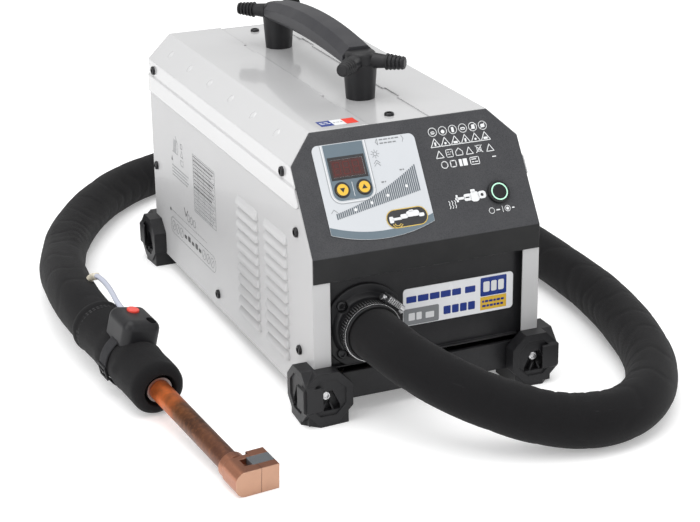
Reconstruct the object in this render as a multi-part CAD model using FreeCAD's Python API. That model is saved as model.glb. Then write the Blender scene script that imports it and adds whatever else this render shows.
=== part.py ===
"""Portable liquid-cooled induction heater: power source, sleeved umbilical and hand torch.

Frame: +Z up, front of the case towards -Y, origin on the floor under the middle of the case.
All sizes are in millimetres.
"""
import FreeCAD, Part
import math
import os

V = FreeCAD.Vector
X_AXIS, Y_AXIS, Z_AXIS = V(1, 0, 0), V(0, 1, 0), V(0, 0, 1)

# ---------------------------------------------------------------- driving dimensions
case_width = 230.0
case_depth = 468.0
case_height = 242.0            # underside of the base tray to the top of the covers
floor_gap = 15.0               # underside of the base tray above the floor
sheet = 1.2                    # case sheet thickness
bend_radius = 3.0              # outside radius of the cover bends
bezel_radius = 2.6             # outside radius of the bezel's bend
chamfer_across = 25.0          # top chamfer, measured along X
chamfer_drop = 24.5            # top chamfer, measured along Z
bend_height = 144.0            # bend of the control bezel above the underside
bezel_setback = 65.0           # top of the bezel behind its bend
band_height = 23.5             # vertical band of the bezel under its bend
bezel_return = 34.0            # depth of the bezel's side returns
seam_height = 181.5            # lower edge of the top covers above the underside
lip_height = 18.5              # overlap of cover lip and side panel
lip_offset = 1.5               # how far the lip steps out
rail_width = 62.0              # gap between the two top covers
rail_land = 12.0               # rail hidden under each cover
slot_width = 3.0               # slots in the cover edges beside the posts
slot_length = 34.0
front_flange = 17.0            # white return of the side panels beside the front panel
panel_recess = 9.0             # front panel behind the white returns
panel_foot = 33.0              # lower edge of the front panel above the underside
tray_lip = 27.0                # height of the base tray's front lip
tray_side = 26.0               # height of the base tray's side flanges
lip_recess = 4.0               # tray lip behind the white returns
louvre_count = 11
louvre_pitch = 11.6
louvre_length = 56.0
louvre_rise = 3.2
louvre_slot = 3.0
louvre_drop = 8.6
dimple_count = 6
dimple_diameter = 11.0
foot_across = 49.0             # octagon across flats
foot_thickness = 14.0          # foot boss in front of the case faces
foot_overhang = 16.5           # octagon beyond the case edge
foot_bottom = 4.0              # octagon above the floor
foot_pocket = 8.0              # depth of the screw pockets
foot_screw_length = 12.0
foot_clearance = 0.1
handle_centre = 27.0           # middle of the handle along Y
handle_span = 216.0            # between post centres
handle_rise = 57.0             # top of the grip above the covers
grip_width = 34.0
grip_height = 23.0
grip_sag = 9.0                 # how much lower the grip is over its posts
grip_low_sag = 5.0             # the same for its underside
post_diameter = 28.0
head_radius = 15.5             # rounded block over each post
post_draft = 2.5               # growth of the post's radius to its top
horn_length = 46.0
horn_diameter = 10.0
fin_diameter = 14.0
fin_count = 5
fin_pitch = 3.9
screw_head = 9.5               # M5 button head
screw_head_height = 2.8
screw_shank = 5.0
screw_length = 9.0
fit_gap = 0.15                 # radial clearance of static fits
running_gap = 0.06             # radial clearance of moving fits
bezel_gap = 0.1                # bezel in front of the covers and side panels
key_diameter = 12.0
key_rise = 1.6
key_travel = 0.8
power_flange = 22.0
power_body = 19.0
power_ring = 16.6
power_cap = 13.0
power_travel = 2.5
hose_diameter = 50.0
hose_exit_inset = 20.0         # from the side of the case to the flange
hose_exit_height = 70.0        # hose axis above the underside of the case
flange_rim = 16.0              # flange beyond the hose
flange_side = 8.0              # the same at its flat sides
flange_thickness = 4.0
flange_bolt_inset = 3.0        # screw spacing below the hose's diameter
spigot_inset = 4.0             # from the hose's outside to the spigot inside it
spigot_length = 30.0
collar_wall = 8.0              # step on the flange round the hose
collar_height = 5.0
cuff_wall = 1.8                # turned-over end of the sleeve under the clamp
cuff_length = 16.0
clamp_width = 12.0
clamp_band = 1.4
sleeve_diameter = 52.0
sleeve_length = 148.0
sleeve_bore = 32.0
lance_diameter = 20.0
lance_bore = 13.0
lance_reach = 146.0            # lance in front of the sleeve, up to the head's collar
lance_seat = 60.0              # lance inside the torch
head_length = 35.0
head_height = 24.0
head_width = 41.0
head_collar_length = 8.0
trigger_diameter = 12.0
trigger_travel = 2.0
lead_diameter = 5.2
fan_size = 120.0
fan_depth = 38.0
fan_clearance = 1.5
fan_x = 38.0
fan_height = 105.0             # fan axis above the underside
cap_diameter = 40.0
gland_diameter = 24.0
gland_length = 21.0            # gland outside the rear panel

# torch as it lies on the floor, left of the case
torch_x, torch_y = -240.0, -164.0
torch_yaw = 6.5
torch_roll = 12.0              # trigger turned towards the case
floor_skin = 0.3               # soft things stay this far above the floor

# ---------------------------------------------------------------- derived places
half_width = case_width / 2
flange_diameter = hose_diameter + 2 * flange_rim
flange_width = hose_diameter + 2 * flange_side
flange_bolts = hose_diameter - flange_bolt_inset
spigot_diameter = hose_diameter - 2 * spigot_inset
collar_diameter = hose_diameter + 2 * collar_wall
hose_exit_x = hose_exit_inset + flange_width / 2 - half_width
half_depth = case_depth / 2
front, back = -half_depth, half_depth
base = floor_gap
top = base + case_height
chamfer_z = top - chamfer_drop
bend_z = base + bend_height
band_z = bend_z - band_height
seam_z = base + seam_height
joggle_z = seam_z + lip_height
rail_top = top - sheet
slope = bezel_setback / (top - bend_z)
slope_length = math.hypot(bezel_setback, top - bend_z)
bezel_angle = math.degrees(math.atan2(top - bend_z, bezel_setback))
panel_y = front + panel_recess
hose_exit_z = base + hose_exit_height
hose_radius = hose_diameter / 2
sleeve_radius = sleeve_diameter / 2
head_drop = sleeve_radius - head_height / 2
torch_tilt = math.degrees(math.atan2(head_drop, lance_reach + head_length))
post_y = (handle_centre - handle_span / 2, handle_centre + handle_span / 2)

NODES = {}


def node(name, shape):
    """Register one named piece."""
    NODES[name] = shape.removeSplitter()


# ---------------------------------------------------------------- small builders
def box(x0, x1, y0, y1, z0, z1):
    return Part.makeBox(x1 - x0, y1 - y0, z1 - z0, V(x0, y0, z0))


def cylinder(start, axis, radius, length):
    return Part.makeCylinder(radius, length, start, axis)


def ring(start, axis, outer, inner, length):
    return cylinder(start, axis, outer, length).cut(cylinder(start, axis, inner, length))


def prism_xz(points, y0, y1):
    """Extrude an outline in the XZ plane along Y."""
    corners = [V(x, y0, z) for x, z in points]
    face = Part.Face(Part.makePolygon(corners + corners[:1]))
    return face.extrude(V(0, y1 - y0, 0))


def prism_yz(points, x0, x1):
    """Extrude an outline in the YZ plane along X."""
    corners = [V(x0, y, z) for y, z in points]
    face = Part.Face(Part.makePolygon(corners + corners[:1]))
    return face.extrude(V(x1 - x0, 0, 0))


def prism_xy(points, z0, z1):
    """Extrude an outline in the XY plane along Z."""
    corners = [V(x, y, z0) for x, y in points]
    face = Part.Face(Part.makePolygon(corners + corners[:1]))
    return face.extrude(V(0, 0, z1 - z0))


def mirrored(shape, across_x=False, across_y=False):
    if across_x:
        shape = shape.mirror(V(), X_AXIS)
    if across_y:
        shape = shape.mirror(V(), Y_AXIS)
    return shape


def octagon(cx, cy, across, corner):
    """Outline of a square with its corners cut."""
    h = across / 2
    c = h - corner
    return [(cx + u * h, cy + v * c) if abs(u) == 1 and not w else (cx + u * c, cy + v * h)
            for u, v, w in ((1, -1, 0), (1, 1, 0), (1, 1, 1), (-1, 1, 1),
                            (-1, 1, 0), (-1, -1, 0), (-1, -1, 1), (1, -1, 1))]


def placed(shape, placement):
    copy = shape.copy()
    copy.Placement = placement.multiply(copy.Placement)
    return copy


def facing(point, direction):
    """Placement that turns local +Z to direction and puts the origin at point."""
    return FreeCAD.Placement(point, FreeCAD.Rotation(Z_AXIS, direction))


def screw(head=screw_head, head_height=screw_head_height, shank=screw_shank, length=screw_length):
    """Button-head screw with a hexagon socket, its head on local +Z."""
    rise = cylinder(V(), Z_AXIS, head / 2, head_height)
    rise = rise.makeFillet(head_height * 0.6, [e for e in rise.Edges if e.BoundBox.ZMin > head_height * 0.9])
    socket = [V(0.3 * head * math.cos(a), 0.3 * head * math.sin(a), head_height * 0.45)
              for a in [math.radians(60 * i) for i in range(6)]]
    hexagon = Part.Face(Part.makePolygon(socket + socket[:1])).extrude(V(0, 0, head_height))
    return rise.cut(hexagon).fuse(cylinder(V(0, 0, -length), Z_AXIS, shank / 2, length))


def screws_at(places, **sizes):
    """Group of separate screws; places are (point on the seat, outward direction)."""
    one = screw(**sizes)
    return Part.makeCompound([placed(one, facing(p, d)) for p, d in places])


def drill(shape, places, shank=screw_shank, length=screw_length):
    """Clearance holes for the screws at these places."""
    for point, direction in places:
        start = point - direction * (length + 1)
        shape = shape.cut(cylinder(start, direction, shank / 2 + fit_gap, length + 2))
    return shape


# ---------------------------------------------------------------- case profile
def section(inset):
    """Case cross-section in XZ, moved in by inset."""
    turn = math.atan2(chamfer_across, chamfer_drop)
    x_side = half_width - inset
    z_side = chamfer_z - inset * math.tan(turn / 2)
    x_top = half_width - chamfer_across - inset * math.tan((math.pi / 2 - turn) / 2)
    return [(-x_side, base + inset), (-x_side, z_side), (-x_top, top - inset),
            (x_top, top - inset), (x_side, z_side), (x_side, base + inset)]


def slope_y(z, ahead=0.0):
    """Y of the sloped plane at height z, moved ahead along its normal."""
    return front + slope * (z - bend_z) - ahead * slope_length / (top - bend_z)


def front_space(ahead=0.0):
    """Everything in front of the bezel planes, moved ahead by this much."""
    low = bend_z - ahead * math.tan((math.pi / 2 - math.radians(bezel_angle)) / 2)
    high = top + 40
    return prism_yz([(front - 80, base - 20), (front - ahead, base - 20), (front - ahead, low),
                     (slope_y(high, ahead), high), (front - 80, high)], -half_width - 30, half_width + 30)


BEZEL = FreeCAD.Placement(V(0, slope_y(bend_z, sheet), bend_z), FreeCAD.Rotation(X_AXIS, bezel_angle))


def on_bezel(shape):
    """Local X across, Y up the slope from the bend, Z out of the sloped face."""
    return placed(shape, BEZEL)


# ---------------------------------------------------------------- screw places
def side_places(points):
    """Both sides: (y, z) points on the side faces."""
    return [(V(s * half_width, y, z), V(s, 0, 0)) for s in (-1, 1) for y, z in points]


cover_screw_y = (front + 68, back - 17)
cover_screw_z = chamfer_z - 10
cover_places = side_places([(y, cover_screw_z) for y in cover_screw_y])
panel_places = side_places([(front + 36, bend_z + 15), (front + 34, base + 44),
                            (handle_centre, base + tray_side * 0.6), (back - 12, base + 98)])
rail_places = [(V(0, y, rail_top), Z_AXIS) for y in (front + 86, back - 26)]
handle_places = [(V(0, y, rail_top - sheet), -Z_AXIS) for y in post_y]
flange_y = panel_y - flange_thickness
flange_places = [(V(hose_exit_x + u * flange_bolts / 2, flange_y, hose_exit_z + v * flange_bolts / 2),
                  -Y_AXIS) for u in (-1, 1) for v in (-1, 1)]


# ---------------------------------------------------------------- case
def make_base_tray():
    y0, y1 = front + lip_recess, back - sheet - fit_gap
    x = half_width - sheet - fit_gap
    tray = box(-x, x, y0, y1, base, base + sheet)
    tray = tray.fuse(box(-x, x, y0, y0 + sheet, base, base + tray_lip))
    for s in (-1, 1):
        side = box(x - sheet, x, y0, y1, base, base + tray_side)
        tray = tray.fuse(mirrored(side, across_x=s < 0))
    fold = box(-x, x, y0, panel_y - 0.2, base + tray_lip - sheet, base + tray_lip)
    return drill_feet(drill(tray.fuse(fold), panel_places))


def make_front_panel():
    """Recessed plate with side returns and a folded foot over the tray lip."""
    x = half_width - sheet - fit_gap
    z0, z1 = base + panel_foot, bend_z - 2
    plate = box(-x, x, panel_y, panel_y + sheet, z0, z1)
    plate = plate.fuse(box(-x + front_flange, x - front_flange, flange_y, panel_y, z0, z0 + sheet))
    returns = box(x - sheet, x, panel_y, panel_y + 46, z0, z1 + 32)
    returns = returns.cut(front_space(-sheet - 0.4))
    for s in (-1, 1):
        plate = plate.fuse(mirrored(returns, across_x=s < 0))
    plate = plate.cut(cylinder(V(hose_exit_x, panel_y - 1, hose_exit_z), Y_AXIS,
                               spigot_diameter / 2 - 4, sheet + 2))
    return drill(plate, panel_places + flange_places)


def make_rear_panel():
    """Flat plate with returns, slotted in front of the fan and drilled for cap and gland."""
    outline = section(sheet + fit_gap)
    shell = prism_xz(outline, back - sheet, back)
    ring_in = prism_xz(section(2 * sheet + fit_gap), back - 26, back - sheet)
    returns = prism_xz(outline, back - 26, back - sheet).cut(ring_in)
    returns = returns.cut(box(-200, 200, back - 30, back - sheet, 0, base + 30))
    panel = shell.fuse(returns)
    panel = panel.cut(box(-rail_width / 2 - rail_land - 1, rail_width / 2 + rail_land + 1,
                          back - 30, back - sheet, top - 6, top))
    fan_z = base + fan_height
    bars = 9
    for i in range(bars):
        z = fan_z + (i - (bars - 1) / 2) * 11.5
        half = math.sqrt((fan_size / 2 - 3) ** 2 - (z - fan_z) ** 2)
        panel = panel.cut(box(fan_x - half, fan_x + half, back - sheet - 1, back + 1, z - 2.6, z + 2.6))
    for x, z, diameter in ((cap_x, cap_z, cap_diameter - 12), (gland_x, gland_z, gland_diameter - 8)):
        panel = panel.cut(cylinder(V(x, back - 5, z), Y_AXIS, diameter / 2 + fit_gap, 10))
    return drill_feet(drill(panel, panel_places + cover_places))


def make_bezel():
    """One bent sheet: sloped face, vertical band and side returns."""
    skin = front_space(0).cut(front_space(sheet))
    skin = skin.common(prism_xz(section(0.6), front - 10, back))
    skin = skin.cut(box(-200, 200, front - 20, back, 0, band_z))
    folds = [e for e in skin.Edges if e.BoundBox.XLength > case_width / 2 and abs(e.BoundBox.Center.z - bend_z) < 3]
    outside = min(folds, key=lambda e: e.BoundBox.YMin)
    skin = skin.makeFillet(bezel_radius, [outside])
    returns = prism_xz(section(sheet + fit_gap), front, back).cut(
        prism_xz(section(2 * sheet + fit_gap), front - 1, back + 1))
    depth = front_space(-bezel_return).cut(front_space(0))
    returns = returns.common(depth).cut(box(-200, 200, front, back, 0, bend_z + 34))
    returns = returns.cut(box(-rail_width / 2 - rail_land - 1, rail_width / 2 + rail_land + 1,
                              front, back, top - 6, top))
    bezel = skin.fuse(returns)
    holes = [on_bezel(cylinder(V(x, y, -6), Z_AXIS, key_diameter / 2 + running_gap, 12)) for x, y in key_spots]
    holes.append(on_bezel(cylinder(V(*power_spot, -6), Z_AXIS, power_body / 2 + fit_gap, 12)))
    holes.append(on_bezel(box(window_x0, window_x1, window_y0, window_y1, -6, 6)))
    for hole in holes:
        bezel = bezel.cut(hole)
    return drill(bezel, cover_places)


# places on the sloped face, from the bend upwards
key_spots = ((-71.5, 60.0), (-50.0, 60.0))
power_spot = (80.5, 36.0)
window_x0, window_x1, window_y0, window_y1 = -77.0, -45.5, 72.0, 88.5
board_depth = 12.0


def make_controls():
    overlay_top, overlay_low, overlay_left, overlay_right = 104.0, 20.0, -92.0, 10.5
    dip = Part.Arc(V(overlay_left, overlay_low, 0), V(-52, 10.5, 0), V(overlay_right, overlay_low - 1, 0)).toShape()
    sides = Part.makePolygon([V(overlay_right, overlay_low - 1, 0), V(overlay_right, overlay_top, 0),
                              V(overlay_left, overlay_top, 0), V(overlay_left, overlay_low, 0)])
    overlay = Part.Face(Part.Wire([dip] + sides.Edges)).extrude(V(0, 0, 0.4))
    overlay = overlay.makeFillet(6.0, [e for e in overlay.Edges if e.BoundBox.ZLength > 0.3
                                       and e.BoundBox.YMin > overlay_top - 1])
    for x, y in key_spots:
        overlay = overlay.cut(cylinder(V(x, y, -1), Z_AXIS, key_diameter / 2 + running_gap, 3))
    overlay = overlay.cut(box(window_x0, window_x1, window_y0, window_y1, -1, 1))
    node("keypad_overlay", on_bezel(overlay))
    window = box(window_x0 + 0.1, window_x1 - 0.1, window_y0 + 0.1, window_y1 - 0.1, -sheet, 0.2)
    node("display_window", on_bezel(window))

    board = box(-96, 98, 24, 98, -board_depth - 1.6, -board_depth)
    board = board.cut(cylinder(V(*power_spot, -board_depth - 2), Z_AXIS, power_body / 2 + 2, 4))
    digits = [box(window_x0 + 1 + i * 10, window_x0 + 10 + i * 10, window_y0 + 0.5, window_y1 - 0.5,
                  -board_depth, -sheet - 0.6) for i in range(3)]
    switches = [box(x - 3, x + 3, y - 3, y + 3, -board_depth, -board_depth + 3.5) for x, y in key_spots]
    for extra in digits + switches:
        board = board.fuse(extra)
    node("display_board", on_bezel(board))

    for name, (x, y) in zip(("key_down", "key_up"), key_spots):
        key = cylinder(V(x, y, -3.5), Z_AXIS, key_diameter / 2, 3.5 + key_rise)
        key = key.makeFillet(0.6, [e for e in key.Edges if e.BoundBox.ZMin > key_rise - 0.1])
        stem = cylinder(V(x, y, -board_depth + 3.6 + key_travel), Z_AXIS, 1.8, board_depth - 7.0 - key_travel)
        rim = ring(V(x, y, -3.5), Z_AXIS, key_diameter / 2 + 1, key_diameter / 2 - 0.5, 2.1)
        node(name, on_bezel(key.fuse(stem).fuse(rim)))

    px, py = power_spot
    body = cylinder(V(px, py, -26), Z_AXIS, power_body / 2, 26)
    flange = cylinder(V(px, py, 0), Z_AXIS, power_flange / 2, 3.0)
    flange = flange.makeFillet(1.0, [e for e in flange.Edges if e.BoundBox.ZMin > 2.9])
    housing = body.fuse(flange)
    housing = housing.cut(ring(V(px, py, 0.6), Z_AXIS, power_ring / 2, power_cap / 2 + 0.6, 5))
    housing = housing.cut(cylinder(V(px, py, -8), Z_AXIS, power_cap / 2 + running_gap, 20))
    node("power_button_housing", on_bezel(housing))
    glow = ring(V(px, py, 0.6), Z_AXIS, power_ring / 2, power_cap / 2 + 0.6, 2.6)
    node("power_button_ring", on_bezel(glow))
    cap = cylinder(V(px, py, -8 + power_travel + 0.5), Z_AXIS, power_cap / 2, 7.5 - power_travel + 3.6)
    cap = cap.makeFillet(0.6, [e for e in cap.Edges if e.BoundBox.ZMin > 3])
    node("power_button_cap", on_bezel(cap))


def cover_outline():
    """Left cover in XZ: top, chamfer, side and the stepped-out lip."""
    outer, inner = section(0), section(sheet)
    edge = -rail_width / 2
    lip = -half_width - lip_offset
    return [(edge, top), outer[2], outer[1], (-half_width, joggle_z + 1.5), (lip, joggle_z - 0.5),
            (lip, seam_z), (lip + sheet, seam_z), (lip + sheet, joggle_z - 1.0),
            (-half_width + sheet, joggle_z + 1.0), inner[1], inner[2], (edge, top - sheet)]


def bent(shape, places, radius):
    """Round the long bends of a sheet that runs along Y; places are (x, z) of its bend lines."""
    edges = [e for e in shape.Edges if e.BoundBox.YLength > 100
             and any(abs(e.BoundBox.Center.x - x) < 0.1 and abs(e.BoundBox.Center.z - z) < 0.1
                     for x, z in places)]
    return shape.makeFillet(radius, edges)


def make_top_cover():
    outline = cover_outline()
    cover = prism_xz(outline, front, back)
    cover = bent(cover, outline[1:3], bend_radius)
    cover = bent(cover, outline[9:11], bend_radius - sheet)
    cover = cover.cut(front_space(-bezel_gap))
    rounding = 12.0
    corner_y = slope_y(seam_z) + rounding
    notch = box(-half_width - 5, -half_width + 2, front, corner_y, seam_z - 1, seam_z + rounding)
    notch = notch.cut(cylinder(V(-half_width - 6, corner_y, seam_z + rounding), X_AXIS, rounding, 10))
    cover = cover.cut(notch)
    for y in post_y:
        cover = cover.cut(box(-rail_width / 2 - slot_width, -rail_width / 2 + 1, y - slot_length / 2,
                              y + slot_length / 2, top - 2 * sheet, top + 1))
    outer = section(0)
    middle = V((outer[1][0] + outer[2][0]) / 2, 0, (outer[1][1] + outer[2][1]) / 2)
    normal = V(-chamfer_drop, 0, chamfer_across).normalize()
    for y in dimple_rows():
        ball = Part.makeSphere(dimple_diameter * 0.75, V(middle.x, y, middle.z)
                               - normal * dimple_diameter * 0.62)
        slab_in = prism_xz(section(sheet), front, back)
        cover = cover.fuse(ball.cut(slab_in))
    return drill(cover, cover_places)


def dimple_rows():
    first, last = front + 113, back - 42
    return [first + i * (last - first) / (dimple_count - 1) for i in range(dimple_count)]


def make_top_rail():
    half = rail_width / 2 + rail_land
    y0 = slope_y(rail_top) + 0.3
    rail = box(-half, half, y0, back - sheet - 0.2, rail_top - sheet, rail_top)
    return drill(drill(rail, rail_places), handle_places)


def louvre_columns():
    """(y of the front end, z of the first hood) of both columns."""
    first = bend_z + 3
    return ((front + 60, first), (front + 136, first - 1))


def make_side_panel():
    """Left panel with front and rear returns, louvres and foot clearance."""
    x0, x1 = -half_width, -half_width + sheet
    panel = box(x0, x1, front, back, base, joggle_z - 1.4)
    panel = panel.fuse(box(x0, x0 + front_flange, front, front + sheet, base, bend_z))
    panel = panel.cut(front_space(-bezel_gap).cut(box(-200, 200, front - 90, front + 200, 0, bend_z - 1)))
    for y0, z0 in louvre_columns():
        for i in range(louvre_count):
            z = z0 - i * louvre_pitch
            panel = panel.fuse(louvre_hood(x0, y0, z))
            panel = panel.cut(box(x0 - 1, x1 + 1, y0 + 3, y0 + louvre_length - 2, z - 8.2, z - 8.2 + louvre_slot))
    return drill_feet(drill(panel, panel_places))


def hood_outline(x, y, z, wall):
    """Curved hood section in XZ at y; a wall of 0 gives the filled section."""
    low = z - louvre_drop
    bulge = V(x - louvre_rise * 0.72, y, z - louvre_drop * 0.45)
    outer = Part.Arc(V(x, y, z), bulge, V(x - louvre_rise, y, low)).toShape()
    if not wall:
        back_x = [V(x - louvre_rise, y, low), V(x, y, low), V(x, y, z)]
        return Part.Face(Part.Wire([outer] + Part.makePolygon(back_x).Edges))
    lip = Part.makeLine(V(x - louvre_rise, y, low), V(x - louvre_rise + wall, y, low))
    inner = Part.Arc(V(x - louvre_rise + wall, y, low), bulge + V(wall, 0, -wall * 0.7),
                     V(x, y, z - 2 * wall)).toShape()
    root = Part.makeLine(V(x, y, z - 2 * wall), V(x, y, z))
    return Part.Face(Part.Wire([outer, lip, inner, root]))


def louvre_hood(x, y0, z):
    """Pressed hood: open below, square at the back, rounded at the front."""
    nose = louvre_rise
    y1 = y0 + louvre_length
    hood = hood_outline(x, y0 + nose, z, 1.0).extrude(V(0, y1 - y0 - nose, 0))
    end = hood_outline(x, y1 - 1.0, z, 0).extrude(V(0, 1.0, 0))
    front_end = hood_outline(x, y0 + nose, z, 0).revolve(V(x, y0 + nose, z), Z_AXIS, 90)
    return hood.fuse(end).fuse(front_end)


# ---------------------------------------------------------------- feet
def foot_centre():
    """Centre of the front boss in XZ and of the side boss in YZ, for the front left foot."""
    offset = foot_overhang - foot_across / 2
    return -half_width - offset, front - offset, foot_bottom + foot_across / 2


def foot_places():
    """Screw seats in the front or rear boss and in the side boss of each foot."""
    cx, cy, cz = foot_centre()
    out = foot_thickness - foot_pocket
    places = []
    for s in (-1, 1):
        for e in (-1, 1):
            places.append((V(-s * cx, e * (half_depth + out), cz), V(0, e, 0)))
            places.append((V(s * (half_width + out), -e * cy, cz), V(s, 0, 0)))
    return places


def drill_feet(shape):
    return drill(shape, foot_places(), length=foot_screw_length)


def make_foot():
    """Front left corner foot: two octagonal bosses on a common pad."""
    cx, cy, cz = foot_centre()
    corner = foot_across * 0.28
    outer_y = front - foot_thickness
    outer_x = -half_width - foot_thickness
    front_boss = prism_xz(octagon(cx, cz, foot_across, corner), outer_y, front + 2)
    side_boss = prism_yz(octagon(cy, cz, foot_across, corner), outer_x, -half_width + 2)
    low = cz - foot_across / 2 + corner
    inner_x, inner_y = cx + foot_across / 2 - 4, cy + foot_across / 2 - 4
    pad = prism_xy([(outer_x, front), (-half_width, outer_y), (inner_x, outer_y + 2),
                    (inner_x, inner_y), (outer_x + 2, inner_y)], 0, base)
    corner_fill = box(outer_x + 4, -half_width + 1, outer_y + 4, front + 1, 1.5, cz + 8)
    foot = front_boss.fuse(side_boss).fuse(pad).fuse(corner_fill)
    gap = foot_clearance
    case = box(-half_width - gap, half_width, front - gap, half_depth, base - gap, 200)
    foot = foot.cut(case)
    dish = foot_across - corner
    foot = foot.cut(prism_xz(octagon(cx, cz, dish, dish * 0.28), outer_y - 1, outer_y + 1.5))
    foot = foot.cut(prism_yz(octagon(cy, cz, dish, dish * 0.28), outer_x - 1, outer_x + 1.5))
    wedge = [(-4.5, 6.5), (4.5, 6.5), (12, -9), (12, -13), (-12, -13), (-12, -9)]
    foot = foot.cut(prism_xz([(cx + u, cz + v) for u, v in wedge], outer_y - 1, outer_y + foot_pocket))
    foot = foot.cut(prism_yz([(cy + u, cz + v) for u, v in wedge], outer_x - 1, outer_x + foot_pocket))
    for u in (-1, 1):
        rib = box(-0.8, 0.8, outer_y + 2.5, outer_y + foot_pocket + 1, -15, -6)
        rib.rotate(V(), Y_AXIS, -22 * u)
        rib.translate(V(cx, 0, cz))
        foot = foot.fuse(rib)
    for seat, direction in ((V(cx, outer_y + foot_pocket, cz), -Y_AXIS), (V(outer_x + foot_pocket, cy, cz), -X_AXIS)):
        foot = foot.cut(cylinder(seat, direction, screw_head / 2 + 1.2, foot_pocket + 2))
    rib_pitch = 8.0
    for i in range(3):
        y = cy - rib_pitch + i * rib_pitch
        foot = foot.cut(box(outer_x - 1, outer_x + 5, y - 2.2, y + 2.2, low - 6, low + 4))
    return drill_feet(foot)


# ---------------------------------------------------------------- handle
def arch(z_mid, sag, y):
    """Height of an arc that is sag lower over the posts."""
    radius = ((handle_span / 2) ** 2 + sag ** 2) / (2 * sag)
    return z_mid - radius + math.sqrt(radius ** 2 - (y - handle_centre) ** 2)


def make_grip():
    z_top = top + handle_rise
    z_low = z_top - grip_height
    ends = [post_y[0] + 3, post_y[1] - 3]
    high = [V(0, y, arch(z_top, grip_sag, y)) for y in ends]
    low = [V(0, y, arch(z_low, grip_low_sag, y)) for y in ends]
    upper = Part.Arc(high[0], V(0, handle_centre, z_top), high[1]).toShape()
    lower = Part.Arc(low[0], V(0, handle_centre, z_low), low[1]).toShape()
    ends = [Part.makeLine(a, b) for a, b in zip(low, high)]
    face = Part.Face(Part.Wire(Part.__sortEdges__([upper, lower] + ends)))
    face.translate(V(-grip_width / 2, 0, 0))
    grip = face.extrude(V(grip_width, 0, 0))
    long_edges = [e for e in grip.Edges if e.BoundBox.YLength > handle_span / 2]
    grip = grip.makeChamfer(7.5, [e for e in long_edges if e.BoundBox.ZMax > z_top - 1])
    long_edges = [e for e in grip.Edges if e.BoundBox.YLength > handle_span / 2
                  and e.BoundBox.ZMax < z_low + 1]
    return grip.makeChamfer(5.0, long_edges)


def make_handle_end(y, outward, grip):
    """Post, rounded head and two finned horns at one end of the handle."""
    z_top = arch(top + handle_rise, grip_sag, y)
    z_low = arch(top + handle_rise - grip_height, grip_low_sag, y)
    radius = post_diameter / 2
    post = Part.makeCone(radius, radius + post_draft, z_low + 4 - rail_top, V(0, y, rail_top), Z_AXIS)
    head = cylinder(V(0, y, z_low), Z_AXIS, head_radius, z_top - 2.5 - z_low)
    head = head.makeFillet(5.0, [e for e in head.Edges if e.BoundBox.ZMin > z_top - 4])
    end = post.fuse(head)
    horn_z = z_top - 2.5 - horn_diameter * 0.9
    for s in (-1, 1):
        direction = V(s, outward, 0).normalize()
        start = V(0, y, horn_z)
        horn = Part.makeCone(horn_diameter * 0.9, horn_diameter * 0.45, horn_length, start, direction)
        for i in range(fin_count):
            fin_at = start + direction * (horn_length - 2.6 - i * fin_pitch)
            horn = horn.fuse(Part.makeCone(fin_diameter / 2 - 0.4 * (fin_count - i) + 1.6,
                                           fin_diameter / 2 - 0.4 * (fin_count - i) + 0.8, 2.0, fin_at, direction))
        end = end.fuse(horn)
    end = end.cut(grip)
    return drill(end, handle_places, length=screw_length + 8)


# ---------------------------------------------------------------- umbilical outlet
def make_outlet():
    """Round flange with a spigot, and the worm-drive clamp on the hose end."""
    at = V(hose_exit_x, flange_y, hose_exit_z)
    plate = cylinder(at, Y_AXIS, flange_diameter / 2, flange_thickness)
    plate = plate.makeFillet(1.2, [e for e in plate.Edges if e.BoundBox.YMax < flange_y + 0.1])
    plate = plate.common(box(hose_exit_x - flange_width / 2, hose_exit_x + flange_width / 2,
                             flange_y - 1, flange_y + flange_thickness + 1, 0, top))
    collar = Part.makeCone(collar_diameter / 2, collar_diameter / 2 - 3, collar_height, at, -Y_AXIS)
    sleeve_end = cylinder(at, -Y_AXIS, hose_radius + cuff_wall, collar_height + cuff_length)
    hose_room = cylinder(at, -Y_AXIS, hose_radius + fit_gap, collar_height + cuff_length + 1)
    collar = collar.fuse(sleeve_end).cut(hose_room)
    for place, _ in flange_places:
        collar = collar.cut(cylinder(place, -Y_AXIS, screw_head / 2 + 0.9, collar_height + 1))
    spigot = cylinder(at, -Y_AXIS, spigot_diameter / 2, spigot_length)
    bore = cylinder(at - Y_AXIS * (spigot_length + 1), Y_AXIS, spigot_diameter / 2 - 4, spigot_length + 10)
    flange = plate.fuse(collar).fuse(spigot).cut(bore)
    above_fold = base + panel_foot + sheet + 0.2
    flange = flange.cut(box(-half_width, half_width, flange_y - collar_height - 1, panel_y, 0, above_fold))
    node("hose_flange", drill(flange, flange_places))
    band_y = flange_y - collar_height - 2 - clamp_width
    start = V(hose_exit_x, band_y, hose_exit_z)
    cuff_radius = hose_radius + cuff_wall
    band = ring(start, Y_AXIS, cuff_radius + clamp_band, cuff_radius, clamp_width)
    worm = cuff_radius + clamp_band + 3.4
    housing = box(-8, 8, 0, clamp_width, cuff_radius + clamp_band - 0.6, worm + 4.2)
    housing = housing.makeFillet(2.5, [e for e in housing.Edges if e.BoundBox.ZMin > worm + 4
                                       and e.BoundBox.XLength < 1])
    housing = housing.cut(cylinder(V(-10, clamp_width / 2, worm), X_AXIS, 3.0 + running_gap, 20))
    turned = FreeCAD.Placement(start, FreeCAD.Rotation(Y_AXIS, 40))
    node("hose_clamp_band", band.fuse(placed(housing, turned)))
    bolt = cylinder(V(-12, clamp_width / 2, worm), X_AXIS, 3.0, 21.5)
    head = cylinder(V(9.3, clamp_width / 2, worm), X_AXIS, 4.4, 5)
    slot = box(13, 15, 0, clamp_width, worm - 0.6, worm + 0.6)
    node("hose_clamp_screw", placed(bolt.fuse(head).cut(slot), turned))


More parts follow.
